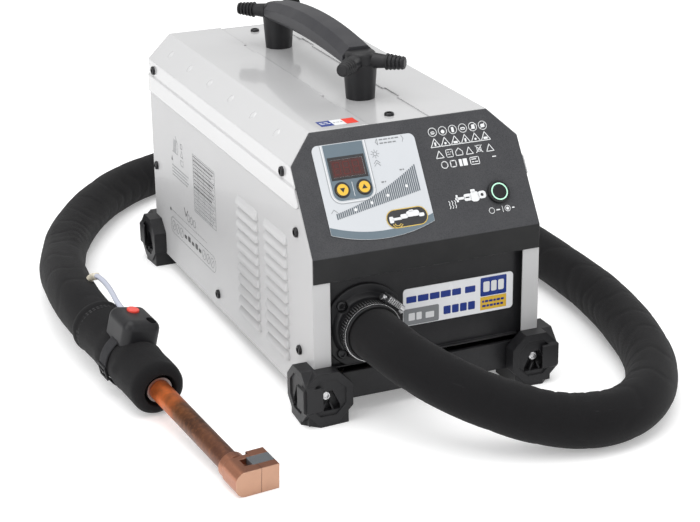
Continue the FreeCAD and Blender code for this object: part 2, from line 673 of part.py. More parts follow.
# ---------------------------------------------------------------- umbilical hose
def torch_placement():
    turn = FreeCAD.Rotation(Z_AXIS, torch_yaw).multiply(FreeCAD.Rotation(X_AXIS, torch_tilt))
    height = sleeve_radius * math.cos(math.radians(torch_tilt)) + floor_skin
    return FreeCAD.Placement(V(torch_x, torch_y, height), turn)


def hose_route():
    """Centre line from the flange to the torch, points chosen by hand; z is above the floor."""
    lay = hose_radius + floor_skin
    start = V(hose_exit_x, flange_y, hose_exit_z)
    end = torch_placement().multVec(V(0, sleeve_length, 0))
    before_end = torch_placement().multVec(V(0, sleeve_length + 56, 0))
    out = V(hose_exit_x, flange_y, 0)
    middle = [out + V(0, -41, hose_exit_z), out + V(20, -89, 70), out + V(63, -122, 48), out + V(112, -148, 31),
              V(102, flange_y - 159, lay), V(150, flange_y - 142, lay), V(189, -327, lay), V(215, -272, lay),
              V(234, -202, lay), V(247, -128, lay), V(251, -42, lay), V(250, 50, lay),
              V(246, 146, lay), V(232, 240, lay), V(204, 326, lay), V(158, 400, lay),
              V(94, 452, lay), V(18, 470, lay), V(-56, 452, lay), V(-122, 402, lay),
              V(-174, 334, lay), V(-212, 266, lay), V(-235, 200, lay + 2), V(-252, 136, lay + 12)]
    return [start] + middle + [before_end, end]


def tube_along(points, diameter, label):
    """Straight runs joined by tangent arcs, as large as their runs allow."""
    edges = []
    last = points[0]
    radii = []
    for before, corner, after in zip(points, points[1:], points[2:]):
        arriving = (corner - before).normalize()
        leaving = (after - corner).normalize()
        turn = arriving.getAngle(leaving)
        reach = 0.45 * min((corner - before).Length, (after - corner).Length)
        radii.append(reach / math.tan(turn / 2))
        start, end = corner - arriving * reach, corner + leaving * reach
        inward = (leaving - arriving).normalize()
        middle = corner + inward * (radii[-1] / math.cos(turn / 2) - radii[-1])
        edges += [Part.LineSegment(last, start).toShape(), Part.Arc(start, middle, end).toShape()]
        last = end
    edges.append(Part.LineSegment(last, points[-1]).toShape())
    path = Part.Wire(edges)
    first = (points[1] - points[0]).normalize()
    profile = Part.Wire(Part.makeCircle(diameter / 2, points[0], first))
    tube = path.makePipeShell([profile], True, False)
    expected = math.pi * diameter ** 2 / 4 * path.Length
    print("%s: length %.1f, radii %s, volume / expected %.4f"
          % (label, path.Length, [round(r) for r in radii], tube.Volume / expected))
    return tube


# ---------------------------------------------------------------- torch
def make_torch():
    """Torch in its own frame: origin at the sleeve's front face, +Y back, +Z to the trigger."""
    spin = FreeCAD.Placement(V(), FreeCAD.Rotation(Y_AXIS, torch_roll))
    seat = torch_placement()

    def lay_down(shape, rolled=False):
        return placed(placed(shape, spin) if rolled else shape, seat)

    lance_radius = lance_diameter / 2
    core_radius = sleeve_bore / 2
    nut_front, nut_back = 2.0, 14.0
    sleeve = cylinder(V(), Y_AXIS, sleeve_radius, sleeve_length)
    sleeve = sleeve.makeFillet(7.0, [e for e in sleeve.Edges if e.BoundBox.YMax < 1])
    sleeve = sleeve.cut(cylinder(V(0, -1, 0), Y_AXIS, core_radius, sleeve_length - 9))
    node("torch_sleeve", lay_down(sleeve))
    core = ring(V(0, nut_back, 0), Y_AXIS, core_radius, lance_radius + fit_gap, sleeve_length - nut_back - 12)
    core = core.cut(ring(V(0, nut_back - 1, 0), Y_AXIS, core_radius + 1, core_radius - 3.5, 14))
    node("torch_core", lay_down(core))
    nut = ring(V(0, nut_front, 0), Y_AXIS, core_radius - 3.6, lance_radius + running_gap,
               nut_back - nut_front - 0.1)
    node("nose_nut", lay_down(nut))
    in_head = lance_reach + head_collar_length + 1
    lance = ring(V(0, -in_head, 0), Y_AXIS, lance_radius, lance_bore / 2, in_head + lance_seat)
    node("lance_tube", lay_down(lance))

    half_head = head_height / 2
    collar_y = -lance_reach - head_collar_length
    collar = ring(V(0, collar_y, 0), Y_AXIS, lance_radius + 2.6, lance_radius, head_collar_length)
    node("head_collar", lay_down(collar))
    head_front = -lance_reach - head_length
    head_left = -lance_radius - 2.6
    head_right = head_left + head_width
    split_x = head_right - 17
    socket = cylinder(V(0, collar_y - 1.2, 0), Y_AXIS, lance_radius, 10)
    block = box(0, split_x, head_front, collar_y - 0.2, -half_head, half_head)
    barrel = box(head_left, 0, head_front, collar_y - 0.2, -half_head, half_head)
    barrel = barrel.makeFillet(half_head * 0.75, [e for e in barrel.Edges if e.BoundBox.YLength > 20
                                                  and e.BoundBox.XMax < head_left + 1])
    block = block.fuse(barrel).cut(socket)
    ferrite_y = head_front + 8.5
    ferrite = box(split_x - 4, head_right, ferrite_y, ferrite_y + 13.5, half_head - 10, half_head)
    slot = box(split_x - 11, split_x - 4, ferrite_y + 1, ferrite_y + 12.5, half_head - 6, half_head + 1)
    block = block.cut(ferrite).cut(slot)
    tip = box(split_x, head_right, head_front, collar_y + 4, -half_head, half_head).cut(ferrite)
    tip = tip.cut(cylinder(V(0, collar_y - 0.2, 0), Y_AXIS, lance_radius + 2.8, head_collar_length))
    node("inductor_body", lay_down(block))
    node("inductor_tip", lay_down(tip))
    node("ferrite_core", lay_down(ferrite))

    make_trigger(lay_down)


def make_trigger(lay_down):
    """Trigger housing strapped on the sleeve, with its button, screw and strap."""
    y0, y1 = 52.0, 98.0
    width, rise = 38.0, 19.0
    crown = sleeve_radius + rise
    housing = box(-width / 2, width / 2, y0, y1, 8, crown)
    housing = housing.makeFillet(9.0, [e for e in housing.Edges if e.BoundBox.ZMin > crown - 1]
                                 + [e for e in housing.Edges if e.BoundBox.ZLength > 20])
    housing = housing.cut(cylinder(V(0, y0 - 1, 0), Y_AXIS, sleeve_radius + 0.3, y1 - y0 + 2))
    strap_y, strap_wide, strap_thick = y0 + 12, 14.0, 1.6
    strap = ring(V(0, strap_y, 0), Y_AXIS, sleeve_radius + 0.3 + strap_thick, sleeve_radius + 0.3, strap_wide)
    housing = housing.cut(ring(V(0, strap_y - 0.1, 0), Y_AXIS, sleeve_radius + 0.4 + strap_thick,
                               sleeve_radius - 1, strap_wide + 0.2))
    button_y = y1 - 16
    radius = trigger_diameter / 2
    well = cylinder(V(0, button_y, crown - 9), Z_AXIS, radius + running_gap, 12)
    screw_seat = [(V(width / 2 - 9, y0 + 9, crown - 7), Z_AXIS)]
    pocket = cylinder(V(width / 2 - 9, y0 + 9, crown - 7), Z_AXIS, 5.2, 12)
    housing = housing.cut(well).cut(pocket)
    housing = drill(housing, screw_seat, shank=3.0, length=6)
    node("trigger_housing", lay_down(housing, rolled=True))
    node("trigger_strap", lay_down(strap, rolled=True))
    button = cylinder(V(0, button_y, crown - 8 + trigger_travel), Z_AXIS, radius, 8 - trigger_travel + 2.2)
    button = button.makeFillet(1.0, [e for e in button.Edges if e.BoundBox.ZMin > crown + 2])
    node("trigger_button", lay_down(button, rolled=True))
    fixing = screws_at(screw_seat, head=6.5, head_height=2.2, shank=3.0, length=6)
    node("trigger_screw", lay_down(fixing, rolled=True))

    out = sleeve_radius + 8.5
    local = [V(3, y1, out), V(3, y1 + 20, out), V(8, y1 + 52, out + 3), V(14, y1 + 86, out),
             V(16, y1 + 112, out - 5)]
    whole = torch_placement().multiply(FreeCAD.Placement(V(), FreeCAD.Rotation(Y_AXIS, torch_roll)))
    points = [whole.multVec(p) for p in local]
    points.append(V(points[-1].x - 6, points[-1].y + 16, points[-1].z - 16))
    node("trigger_lead", tube_along(points, lead_diameter, "trigger_lead"))


# ---------------------------------------------------------------- inside the case
cap_x, cap_z = -72.0, base + 178
gland_x, gland_z = -72.0, base + 48


def make_cooling():
    """Tank, pump, radiator and fan at the back of the case."""
    inside = back - sheet
    fan_z = base + fan_height
    half = fan_size / 2
    frame = box(fan_x - half, fan_x + half, inside - 0.4 - fan_depth, inside - 0.4, fan_z - half, fan_z + half)
    frame = frame.cut(cylinder(V(fan_x, inside - 60, fan_z), Y_AXIS, half - 3, 80))
    hub_y = inside - 8
    spider = cylinder(V(fan_x, hub_y, fan_z), Y_AXIS, 19, 7)
    for i in range(3):
        arm = box(-2.5, 2.5, hub_y, hub_y + 5, 15, half - 1)
        arm.rotate(V(), Y_AXIS, 120 * i + 45)
        arm.translate(V(fan_x, 0, fan_z))
        spider = spider.fuse(arm)
    shaft_bore = cylinder(V(fan_x, hub_y - 4, fan_z), Y_AXIS, 4 + running_gap, 20)
    node("fan_frame", frame.fuse(spider).cut(shaft_bore))
    rotor_y = hub_y - 27
    rotor = cylinder(V(fan_x, rotor_y, fan_z), Y_AXIS, 20, 26)
    for i in range(7):
        blade = box(-1.2, 1.2, -12, 12, 18, half - 3 - fan_clearance)
        blade.rotate(V(), Z_AXIS, 38)
        blade.rotate(V(), Y_AXIS, 360 / 7 * i)
        blade.translate(V(fan_x, rotor_y + 13, fan_z))
        rotor = rotor.fuse(blade)
    rotor = rotor.fuse(cylinder(V(fan_x, rotor_y + 26, fan_z), Y_AXIS, 4, 6))
    node("fan_rotor", rotor)

    rad_y1 = inside - 0.4 - fan_depth - 4
    rad_y0 = rad_y1 - 32
    radiator = box(fan_x - half, fan_x + half, rad_y0, rad_y1, fan_z - half - 8, fan_z + half + 8)
    for i in range(12):
        z = fan_z - half + 5 + i * 10
        radiator = radiator.cut(box(fan_x - half + 5, fan_x + half - 5, rad_y0 - 1, rad_y1 + 1, z - 3.6, z + 3.6))
    node("radiator", radiator)

    tank_x0, tank_x1 = -half_width + screw_length + 2, -half_width + 74
    tank = box(tank_x0, tank_x1, inside - 150, inside - 1, base + 76, base + 178 + 24)
    tank = tank.makeFillet(8.0, [e for e in tank.Edges if e.BoundBox.YLength > 100])
    neck = cylinder(V(cap_x, inside - 8, cap_z), Y_AXIS, cap_diameter / 2 - 6, 8 + sheet + 12)
    hollow = box(tank_x0 + 3, tank_x1 - 3, inside - 147, inside - 4, base + 79, base + 178 + 21)
    throat = cylinder(V(cap_x, inside - 20, cap_z), Y_AXIS, cap_diameter / 2 - 9, 60)
    node("coolant_tank", tank.fuse(neck).cut(hollow).cut(throat))
    cap_y = back + 1.0
    cap = cylinder(V(cap_x, cap_y, cap_z), Y_AXIS, cap_diameter / 2, 16)
    cap = cap.makeFillet(2.0, [e for e in cap.Edges if e.BoundBox.YMin > cap_y + 15])
    for i in range(18):
        a = 2 * math.pi * i / 18
        groove = V(cap_x + cap_diameter / 2 * math.cos(a), cap_y - 1, cap_z + cap_diameter / 2 * math.sin(a))
        cap = cap.cut(cylinder(groove, Y_AXIS, 1.5, 20))
    cap = cap.cut(cylinder(V(cap_x, cap_y - 1, cap_z), Y_AXIS, cap_diameter / 2 - 6 + running_gap, 13.5))
    node("coolant_cap", cap)

    pump_x, pump_y, pump_z = cap_x, inside - 70, base + 40
    body = cylinder(V(pump_x, pump_y, pump_z), Y_AXIS, 27, 30)
    body = body.fuse(cylinder(V(pump_x, pump_y - 46, pump_z), Y_AXIS, 22, 46))
    body = body.fuse(box(pump_x - 22, pump_x + 22, pump_y - 40, pump_y + 20, base + sheet, pump_z))
    body = body.fuse(cylinder(V(pump_x, pump_y + 15, pump_z), Z_AXIS, 7, 36))
    body = body.cut(cylinder(V(pump_x, pump_y + 4, pump_z), Y_AXIS, 22, 22))
    body = body.cut(cylinder(V(pump_x, pump_y - 12, pump_z), Y_AXIS, 4 + running_gap, 20))
    node("pump_body", body)
    impeller = cylinder(V(pump_x, pump_y + 6, pump_z), Y_AXIS, 19, 3)
    for i in range(6):
        vane = box(-1, 1, 0, 12, 5, 18.5)
        vane.rotate(V(), Y_AXIS, 60 * i)
        vane.translate(V(pump_x, pump_y + 7, pump_z))
        impeller = impeller.fuse(vane)
    impeller = impeller.fuse(cylinder(V(pump_x, pump_y - 9, pump_z), Y_AXIS, 4, 26))
    node("pump_impeller", impeller)


def make_power_stage():
    """Heat sink, inverter board, capacitors, transformer, filter and mains gland."""
    floor = base + sheet
    sink = box(-30, 98, -115, 40, floor, floor + 8)
    for i in range(14):
        x = -30 + i * 9.7
        sink = sink.fuse(box(x, x + 1.9, -115, 40, floor + 8, floor + 46))
    node("heat_sink", sink)
    board_z = floor + 62
    board = box(-40, 104, -134, 60, board_z, board_z + 1.6)
    for i in range(6):
        board = board.fuse(box(-20 + i * 18, -8 + i * 18, -110, -92, board_z + 1.6, board_z + 22))
    for x in (-28, 88):
        for y in (-116, 30):
            board = board.fuse(cylinder(V(x, y, floor + 8), Z_AXIS, 3, board_z - floor - 8).cut(sink))
    node("inverter_board", board)
    cans = [cylinder(V(-12 + i * 36, y, board_z + 1.8), Z_AXIS, 15, 52) for i in range(3) for y in (-50, -14)]
    node("capacitors", Part.makeCompound(cans))
    coil_x, coil_y = -63, front + 70
    core = ring(V(coil_x, coil_y - 22, base + 66), Y_AXIS, 44, 20, 44)
    stand = box(coil_x - 38, coil_x - 2, coil_y - 20, coil_y + 20, floor, base + 40).cut(
        cylinder(V(coil_x, coil_y - 30, base + 66), Y_AXIS, 44, 60))
    node("output_transformer", core)
    node("transformer_bracket", stand)
    emc = box(-104, -52, -60, 30, floor, floor + 42)
    for i in range(2):
        emc = emc.cut(ring(V(-90 + i * 24, -15, floor + 40), Z_AXIS, 9, 6, 3))
    node("mains_filter", emc)
    radius = gland_diameter / 2
    gland = cylinder(V(gland_x, back, gland_z), Y_AXIS, radius, 7)
    gland = gland.fuse(Part.makeCone(radius - 1, radius - 4, gland_length - 7,
                                     V(gland_x, back + 7, gland_z), Y_AXIS))
    gland = gland.fuse(cylinder(V(gland_x, back - 12, gland_z), Y_AXIS, radius - 4, 12))
    gland = gland.cut(cylinder(V(gland_x, back - 20, gland_z), Y_AXIS, 5.2, 60))
    node("mains_gland", gland)


# ---------------------------------------------------------------- build
def build():
    node("base_tray", make_base_tray())
    node("front_panel", make_front_panel())
    node("rear_panel", make_rear_panel())
    node("control_bezel", make_bezel())
    make_controls()
    cover, panel, foot = make_top_cover(), make_side_panel(), make_foot()
    for side, across_x in (("left", False), ("right", True)):
        node(side + "_top_cover", mirrored(cover, across_x))
        node(side + "_side_panel", mirrored(panel, across_x))
        for end, across_y in (("front", False), ("rear", True)):
            node("%s_%s_foot" % (end, side), mirrored(foot, across_x, across_y))
    node("top_rail", make_top_rail())
    node("case_screws", screws_at(cover_places + panel_places + rail_places))
    node("foot_screws", screws_at(foot_places(), length=foot_screw_length))
    node("handle_screws", screws_at(handle_places, length=14))
    grip = make_grip()
    node("handle_grip", grip)
    node("front_handle_end", make_handle_end(post_y[0], -1, grip))
    node("rear_handle_end", make_handle_end(post_y[1], 1, grip))
    make_outlet()
    node("flange_screws", screws_at(flange_places))
    name_plate = box(hose_exit_x + flange_width / 2 + 7, 92.5, panel_y - 0.8, panel_y, base + 60, base + 97)
    name_plate = name_plate.makeFillet(4.0, [e for e in name_plate.Edges if e.BoundBox.YLength > 0.5])
    node("label_plate", name_plate)
    hose = tube_along(hose_route(), hose_diameter, "umbilical_hose")
    spigot = cylinder(V(hose_exit_x, flange_y - spigot_length, hose_exit_z), Y_AXIS,
                      spigot_diameter / 2, spigot_length + 2)
    make_torch()
    make_cooling()
    make_power_stage()
    node("umbilical_hose", hose.cut(spigot).cut(NODES["trigger_lead"]))


build()
os.makedirs("parts", exist_ok=True)
for name, shape in NODES.items():
    shape.exportStep("parts/%s.step" % name)
print(len(NODES), "nodes")
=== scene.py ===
import math

import bmesh
import bpy
from bpy.props import FloatProperty, FloatVectorProperty, IntProperty, PointerProperty
from mathutils import Matrix, Vector, noise


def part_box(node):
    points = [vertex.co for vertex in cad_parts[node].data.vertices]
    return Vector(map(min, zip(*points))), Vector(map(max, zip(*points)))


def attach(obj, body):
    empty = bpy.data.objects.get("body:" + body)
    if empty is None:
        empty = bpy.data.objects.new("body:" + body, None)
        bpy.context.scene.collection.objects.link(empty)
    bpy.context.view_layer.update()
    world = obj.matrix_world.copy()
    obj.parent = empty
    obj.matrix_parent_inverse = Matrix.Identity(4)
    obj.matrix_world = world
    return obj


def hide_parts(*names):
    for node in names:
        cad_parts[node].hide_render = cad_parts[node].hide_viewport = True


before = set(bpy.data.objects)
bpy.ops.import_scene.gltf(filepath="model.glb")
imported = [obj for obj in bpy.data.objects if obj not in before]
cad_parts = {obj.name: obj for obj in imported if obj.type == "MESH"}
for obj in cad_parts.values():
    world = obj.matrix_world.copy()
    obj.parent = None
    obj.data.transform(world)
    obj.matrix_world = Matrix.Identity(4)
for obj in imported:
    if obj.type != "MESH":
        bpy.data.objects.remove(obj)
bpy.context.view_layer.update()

bl_info = {
    "name": "Induction heater looks",
    "version": (1, 0, 0),
    "blender": (4, 5, 0),
    "location": "View3D > Sidebar > Heater",
    "description": "Soft goods, prints and finishes of a portable induction heater, laid over its CAD frame",
    "category": "Object",
}

MM = 0.001

# The outlet and the torch, in millimetres, as the frame has them
OUTLET_X, OUTLET_Z = -62, 85           # axis of the umbilical where it leaves the front
HOSE_LAY = 25.3                        # axis of the umbilical lying on the floor
TORCH_X, TORCH_Y, TORCH_YAW = -240.0, -164.0, math.radians(6.5)
SLEEVE_RADIUS = 26.0
HEAD_RADIUS, HEAD_REACH = 12.0, 146.0 + 35.0
FLOOR_GAP = 0.3
TRIGGER_ROLL = math.radians(12.0)      # trigger turned about the torch's axis

# Faces that prints lie on, in millimetres out along the normal of each plane
FILM_FACE, WINDOW_FACE, KEY_FACE = 0.4, 0.2, 1.6
LABEL_FACE, COVER_FACE, SIDE_FACE = 225.8, 257.0, 115.0
KEY_X, KEY_Y = (-71.5, -50.0), 60.0    # middles of the two keys on the bezel

STUDIO_LIGHT = 0.62
LAMPS = (                              # name, place, target, power, width
    ("overhead", (-0.3, -0.2, 2.1), (0.0, 0.0, 0.1), 37.0, 2.2),
    ("left", (-2.1, -0.7, 1.1), (-0.1, 0.0, 0.15), 17.0, 1.4),
    ("front", (0.7, -2.3, 1.2), (0.0, -0.2, 0.15), 8.0, 1.2),
    ("right", (2.1, 0.2, 1.3), (0.1, 0.0, 0.15), 9.0, 1.2))


# ---------------------------------------------------------------- settings
def colour(name, description, default):
    return FloatVectorProperty(name=name, description=description, default=default, size=3,
                               subtype="COLOR", min=0.0, max=1.0)


def length(name, description, default):
    return FloatProperty(name=name, description=description, default=default, min=0.0,
                         subtype="DISTANCE", unit="LENGTH", precision=5)


class HeaterColours(bpy.types.PropertyGroup):
    """Colours of the finishes."""
    case_white: colour("Case white", "Paint of the covers and side panels", (0.52, 0.52, 0.525))
    bezel_grey: colour("Bezel grey", "Textured paint of the control bezel", (0.021, 0.0215, 0.024))
    panel_black: colour("Panel black", "Paint of the front panel and base tray", (0.011, 0.011, 0.0125))
    plastic_black: colour("Plastic black", "Feet, flange and handle ends", (0.010, 0.010, 0.0115))
    grip_grey: colour("Grip grey", "Soft cover of the carrying handle", (0.026, 0.026, 0.030))
    film_grey: colour("Film grey", "Printed film of the keypad", (0.54, 0.56, 0.585))
    band_blue: colour("Band blue", "Blue-grey fields printed on the keypad", (0.115, 0.155, 0.185))
    key_yellow: colour("Key yellow", "Arrow keys", (0.72, 0.45, 0.04))
    glow_green: colour("Glow green", "Lit ring of the power button", (0.42, 0.74, 0.56))
    trigger_red: colour("Trigger red", "Torch trigger", (0.75, 0.055, 0.035))
    copper: colour("Copper", "Clean machined copper", (0.46, 0.205, 0.125))
    copper_bright: colour("Heated copper", "Copper tinted orange by heat", (0.62, 0.15, 0.035))
    copper_dark: colour("Burnt copper", "Copper darkened by heat", (0.085, 0.036, 0.02))
    fabric_black: colour("Fabric black", "Textile sleeve of the umbilical and the torch",
                         (0.0062, 0.0060, 0.0066))
    lead_grey: colour("Lead grey", "Jacket of the trigger lead", (0.42, 0.44, 0.52))
    label_blue: colour("Label blue", "Bars on the front label", (0.012, 0.035, 0.22))
    steel: colour("Steel", "Plated screws and clamp", (0.62, 0.62, 0.63))


class HeaterSizes(bpy.types.PropertyGroup):
    """Sizes of the soft pieces and the prints."""
    hose_diameter: length("Hose diameter", "Outside of the umbilical's sleeve", 0.050)
    hose_step: length("Hose step", "Distance between rings of the hose mesh", 0.003)
    hose_sides: IntProperty(name="Hose sides", description="Points round the hose", default=56,
                            min=16, max=96)
    crease_depth: length("Crease depth", "Depth of the folds inside a tight bend", 0.0024)
    crease_pitch: length("Crease pitch", "Distance between folds", 0.021)
    sleeve_diameter: length("Torch sleeve diameter", "Outside of the torch sleeve", 0.052)
    sleeve_length: length("Torch sleeve length", "From its front rim to its rear edge", 0.148)
    lead_diameter: length("Lead diameter", "Outside of the trigger lead", 0.0052)
    print_lift: length("Print lift", "Gap under a printed mark", 0.00005)
    print_thickness: length("Print thickness", "Height of a printed mark", 0.00007)
    stitch_pitch: length("Stitch pitch", "Distance between stitches", 0.0042)


class HeaterStage(bpy.types.PropertyGroup):
    """Camera, floor and lights."""
    camera_place: FloatVectorProperty(name="Camera", description="Place of the camera", size=3,
                                      subtype="TRANSLATION", default=(-0.6819, -1.6502, 0.7489))
    camera_aim: FloatVectorProperty(name="Aim", description="Direction that the camera looks in", size=3,
                                    subtype="DIRECTION", default=(0.3657, 0.8579, -0.3611))
    camera_up: FloatVectorProperty(name="Up", description="Upward direction of the camera", size=3,
                                   subtype="DIRECTION", default=(0.1530, 0.3272, 0.9325))
    lens: FloatProperty(name="Lens", description="Focal length in millimetres", default=94.6, min=1.0)
    floor_white: colour("Floor white", "Plain pale floor", (0.90, 0.90, 0.90))
    light: FloatProperty(name="Light", description="Strength of all lamps", default=1.0, min=0.0)


def colours():
    return bpy.context.scene.heater_colours


def sizes():
    return bpy.context.scene.heater_sizes


# ---------------------------------------------------------------- node trees
def put(tree, kind, inputs=None, **settings):
    """Adds a node. Each input is a value, or the output socket that feeds it."""
    made = tree.nodes.new(kind)
    for name, value in settings.items():
        setattr(made, name, value)
    for name, value in (inputs or {}).items():
        if isinstance(value, bpy.types.NodeSocket):
            tree.links.new(value, made.inputs[name])
        else:
            made.inputs[name].default_value = value
    return made


def maths(tree, operation, first, second=0.0, clamp=False):
    return put(tree, "ShaderNodeMath", {0: first, 1: second}, operation=operation, use_clamp=clamp).outputs[0]


def mixed(tree, factor, first, second):
    """Mix of two colours."""
    first, second = [shade if isinstance(shade, bpy.types.NodeSocket) else (*shade, 1.0)
                     for shade in (first, second)]
    return put(tree, "ShaderNodeMix", {0: factor, 6: first, 7: second}, data_type="RGBA").outputs[2]


def toned(paint, factor, added=0.0):
    """A colour made lighter or darker."""
    return tuple(min(1.0, c * factor + added) for c in paint)


def ranged(tree, value, low, high, out_low=0.0, out_high=1.0):
    return put(tree, "ShaderNodeMapRange", {"Value": value, "From Min": low, "From Max": high,
                                            "To Min": out_low, "To Max": out_high}).outputs["Result"]


def speck(tree, vector, scale, detail=3.0, rough=0.55):
    """Noise value at a scale in cells per metre."""
    return put(tree, "ShaderNodeTexNoise", {"Vector": vector, "Scale": scale, "Detail": detail,
                                            "Roughness": rough}).outputs["Fac"]


def shader_group(name, inputs, outputs):
    """New shader group; returns its tree, its input sockets and its output sockets."""
    tree = bpy.data.node_groups.new(name, "ShaderNodeTree")
    for label, kind, default in inputs:
        socket = tree.interface.new_socket(label, in_out="INPUT", socket_type="NodeSocket" + kind)
        if kind == "Float":
            socket.default_value = default
    for label, kind in outputs:
        tree.interface.new_socket(label, in_out="OUTPUT", socket_type="NodeSocket" + kind)
    return tree, tree.nodes.new("NodeGroupInput").outputs, tree.nodes.new("NodeGroupOutput").inputs


def lightened_edges():
    """Rounded edge normals and a patchy mask of the edges, which the finishes lighten: partly wear where
    paint rubs through, partly painted highlight.
    """
    tree, given, result = shader_group(
        "Lightened Edges", [("Vector", "Vector", None), ("Radius", "Float", 0.0006), ("Wear", "Float", 0.3)],
        [("Normal", "Vector"), ("Mask", "Float")])
    bevel = put(tree, "ShaderNodeBevel", {"Radius": given["Radius"]}, samples=4).outputs["Normal"]
    flat = put(tree, "ShaderNodeNewGeometry").outputs["Normal"]
    turned = put(tree, "ShaderNodeVectorMath", {0: bevel, 1: flat}, operation="DOT_PRODUCT").outputs["Value"]
    edge = ranged(tree, turned, 0.995, 0.82)
    patchy = ranged(tree, speck(tree, given["Vector"], 160.0, 4.0), 0.42, 0.66)
    mask = maths(tree, "MULTIPLY", maths(tree, "MULTIPLY", edge, patchy), given["Wear"], clamp=True)
    tree.links.new(bevel, result["Normal"])
    tree.links.new(mask, result["Mask"])
    return tree


def fine_grain():
    """Small bumps of textured paint or moulded plastic, and a slow mottle."""
    tree, given, result = shader_group(
        "Fine Grain", [("Vector", "Vector", None), ("Scale", "Float", 900.0), ("Sharpness", "Float", 0.3)],
        [("Height", "Float"), ("Speckle", "Float"), ("Mottle", "Float")])
    cells = put(tree, "ShaderNodeTexVoronoi", {"Vector": given["Vector"], "Scale": given["Scale"]},
                feature="SMOOTH_F1").outputs["Distance"]
    cloud = speck(tree, given["Vector"], given["Scale"], 2.0)
    blend = put(tree, "ShaderNodeMix", {0: given["Sharpness"], 2: cloud, 3: cells}).outputs[0]
    tree.links.new(blend, result["Height"])
    tree.links.new(ranged(tree, cells, 0.05, 0.5), result["Speckle"])
    tree.links.new(speck(tree, given["Vector"], 14.0, 3.0), result["Mottle"])
    return tree


def settled_dust():
    """Mask of dust on faces that look up, and of faint smears elsewhere."""
    tree, given, result = shader_group(
        "Settled Dust", [("Vector", "Vector", None), ("Amount", "Float", 0.1)], [("Mask", "Float")])
    split = put(tree, "ShaderNodeSeparateXYZ", {0: put(tree, "ShaderNodeNewGeometry").outputs["Normal"]})
    up = ranged(tree, split.outputs["Z"], -0.2, 1.0, 0.15, 1.0)
    patch = ranged(tree, speck(tree, given["Vector"], 38.0, 6.0, 0.65), 0.4, 0.75)
    tree.links.new(maths(tree, "MULTIPLY", maths(tree, "MULTIPLY", up, patch), given["Amount"], clamp=True),
                   result["Mask"])
    return tree


def cloth_weave():
    """Plain weave over a UV map in metres, with stray fibres of lint."""
    tree, given, result = shader_group(
        "Cloth Weave", [("Vector", "Vector", None), ("Threads per metre", "Float", 900.0)],
        [("Height", "Float"), ("Shade", "Float"), ("Lint", "Float")])
    scaled = put(tree, "ShaderNodeVectorMath", {0: given["Vector"], 3: given["Threads per metre"]},
                 operation="SCALE").outputs["Vector"]
    axes = put(tree, "ShaderNodeSeparateXYZ", {0: scaled}).outputs
    turns = [maths(tree, "SINE", maths(tree, "MULTIPLY", axes[k], math.pi)) for k in ("X", "Y")]
    over = maths(tree, "MULTIPLY", turns[0], turns[1])
    threads = maths(tree, "ABSOLUTE", over)
    uneven = speck(tree, scaled, 0.35, 4.0, 0.7)
    height = maths(tree, "ADD", maths(tree, "MULTIPLY", threads, 0.6), maths(tree, "MULTIPLY", uneven, 0.8))
    streaks = put(tree, "ShaderNodeMapping", {"Vector": given["Vector"], "Scale": (420.0, 26.0, 1.0)})
    lint = ranged(tree, speck(tree, streaks.outputs["Vector"], 1.0, 5.0, 0.75), 0.64, 0.80)
    tree.links.new(height, result["Height"])
    tree.links.new(ranged(tree, uneven, 0.25, 0.75), result["Shade"])
    tree.links.new(lint, result["Lint"])
    return tree


SHARED = {}


def shared(name):
    """The shared effect of that name, built the first time it is asked for."""
    makers = {"edges": lightened_edges, "grain": fine_grain, "dust": settled_dust, "weave": cloth_weave}
    if name not in SHARED:
        SHARED[name] = makers[name]()
    return SHARED[name]


def effect(tree, name, **values):
    """Places a shared effect in a material; names use underscores for spaces."""
    inputs = {key.replace("_", " "): value for key, value in values.items()}
    return put(tree, "ShaderNodeGroup", inputs, node_tree=shared(name)).outputs


def blank(name):
    """A new material; returns it, its tree and its Principled shader."""
    made = bpy.data.materials.new(name)
    made.use_nodes = True
    tree = made.node_tree
    return made, tree, tree.nodes["Principled BSDF"]


def place_of(tree, kind="Object"):
    return put(tree, "ShaderNodeTexCoord").outputs[kind]


def bumped(tree, height, strength, distance, normal=None):
    inputs = {"Height": height, "Strength": strength, "Distance": distance}
    if normal is not None:
        inputs["Normal"] = normal
    return put(tree, "ShaderNodeBump", inputs).outputs["Normal"]


def feed(tree, shader, **sockets):
    """Sets the shader's sockets; names use underscores for spaces."""
    for name, value in sockets.items():
        socket = shader.inputs[name.replace("_", " ")]
        if isinstance(value, bpy.types.NodeSocket):
            tree.links.new(value, socket)
        elif isinstance(value, (tuple, list)) or hasattr(value, "r"):
            socket.default_value = (*value, 1.0)
        else:
            socket.default_value = value


# ---------------------------------------------------------------- finishes
DUST_GREY = (0.46, 0.45, 0.43)


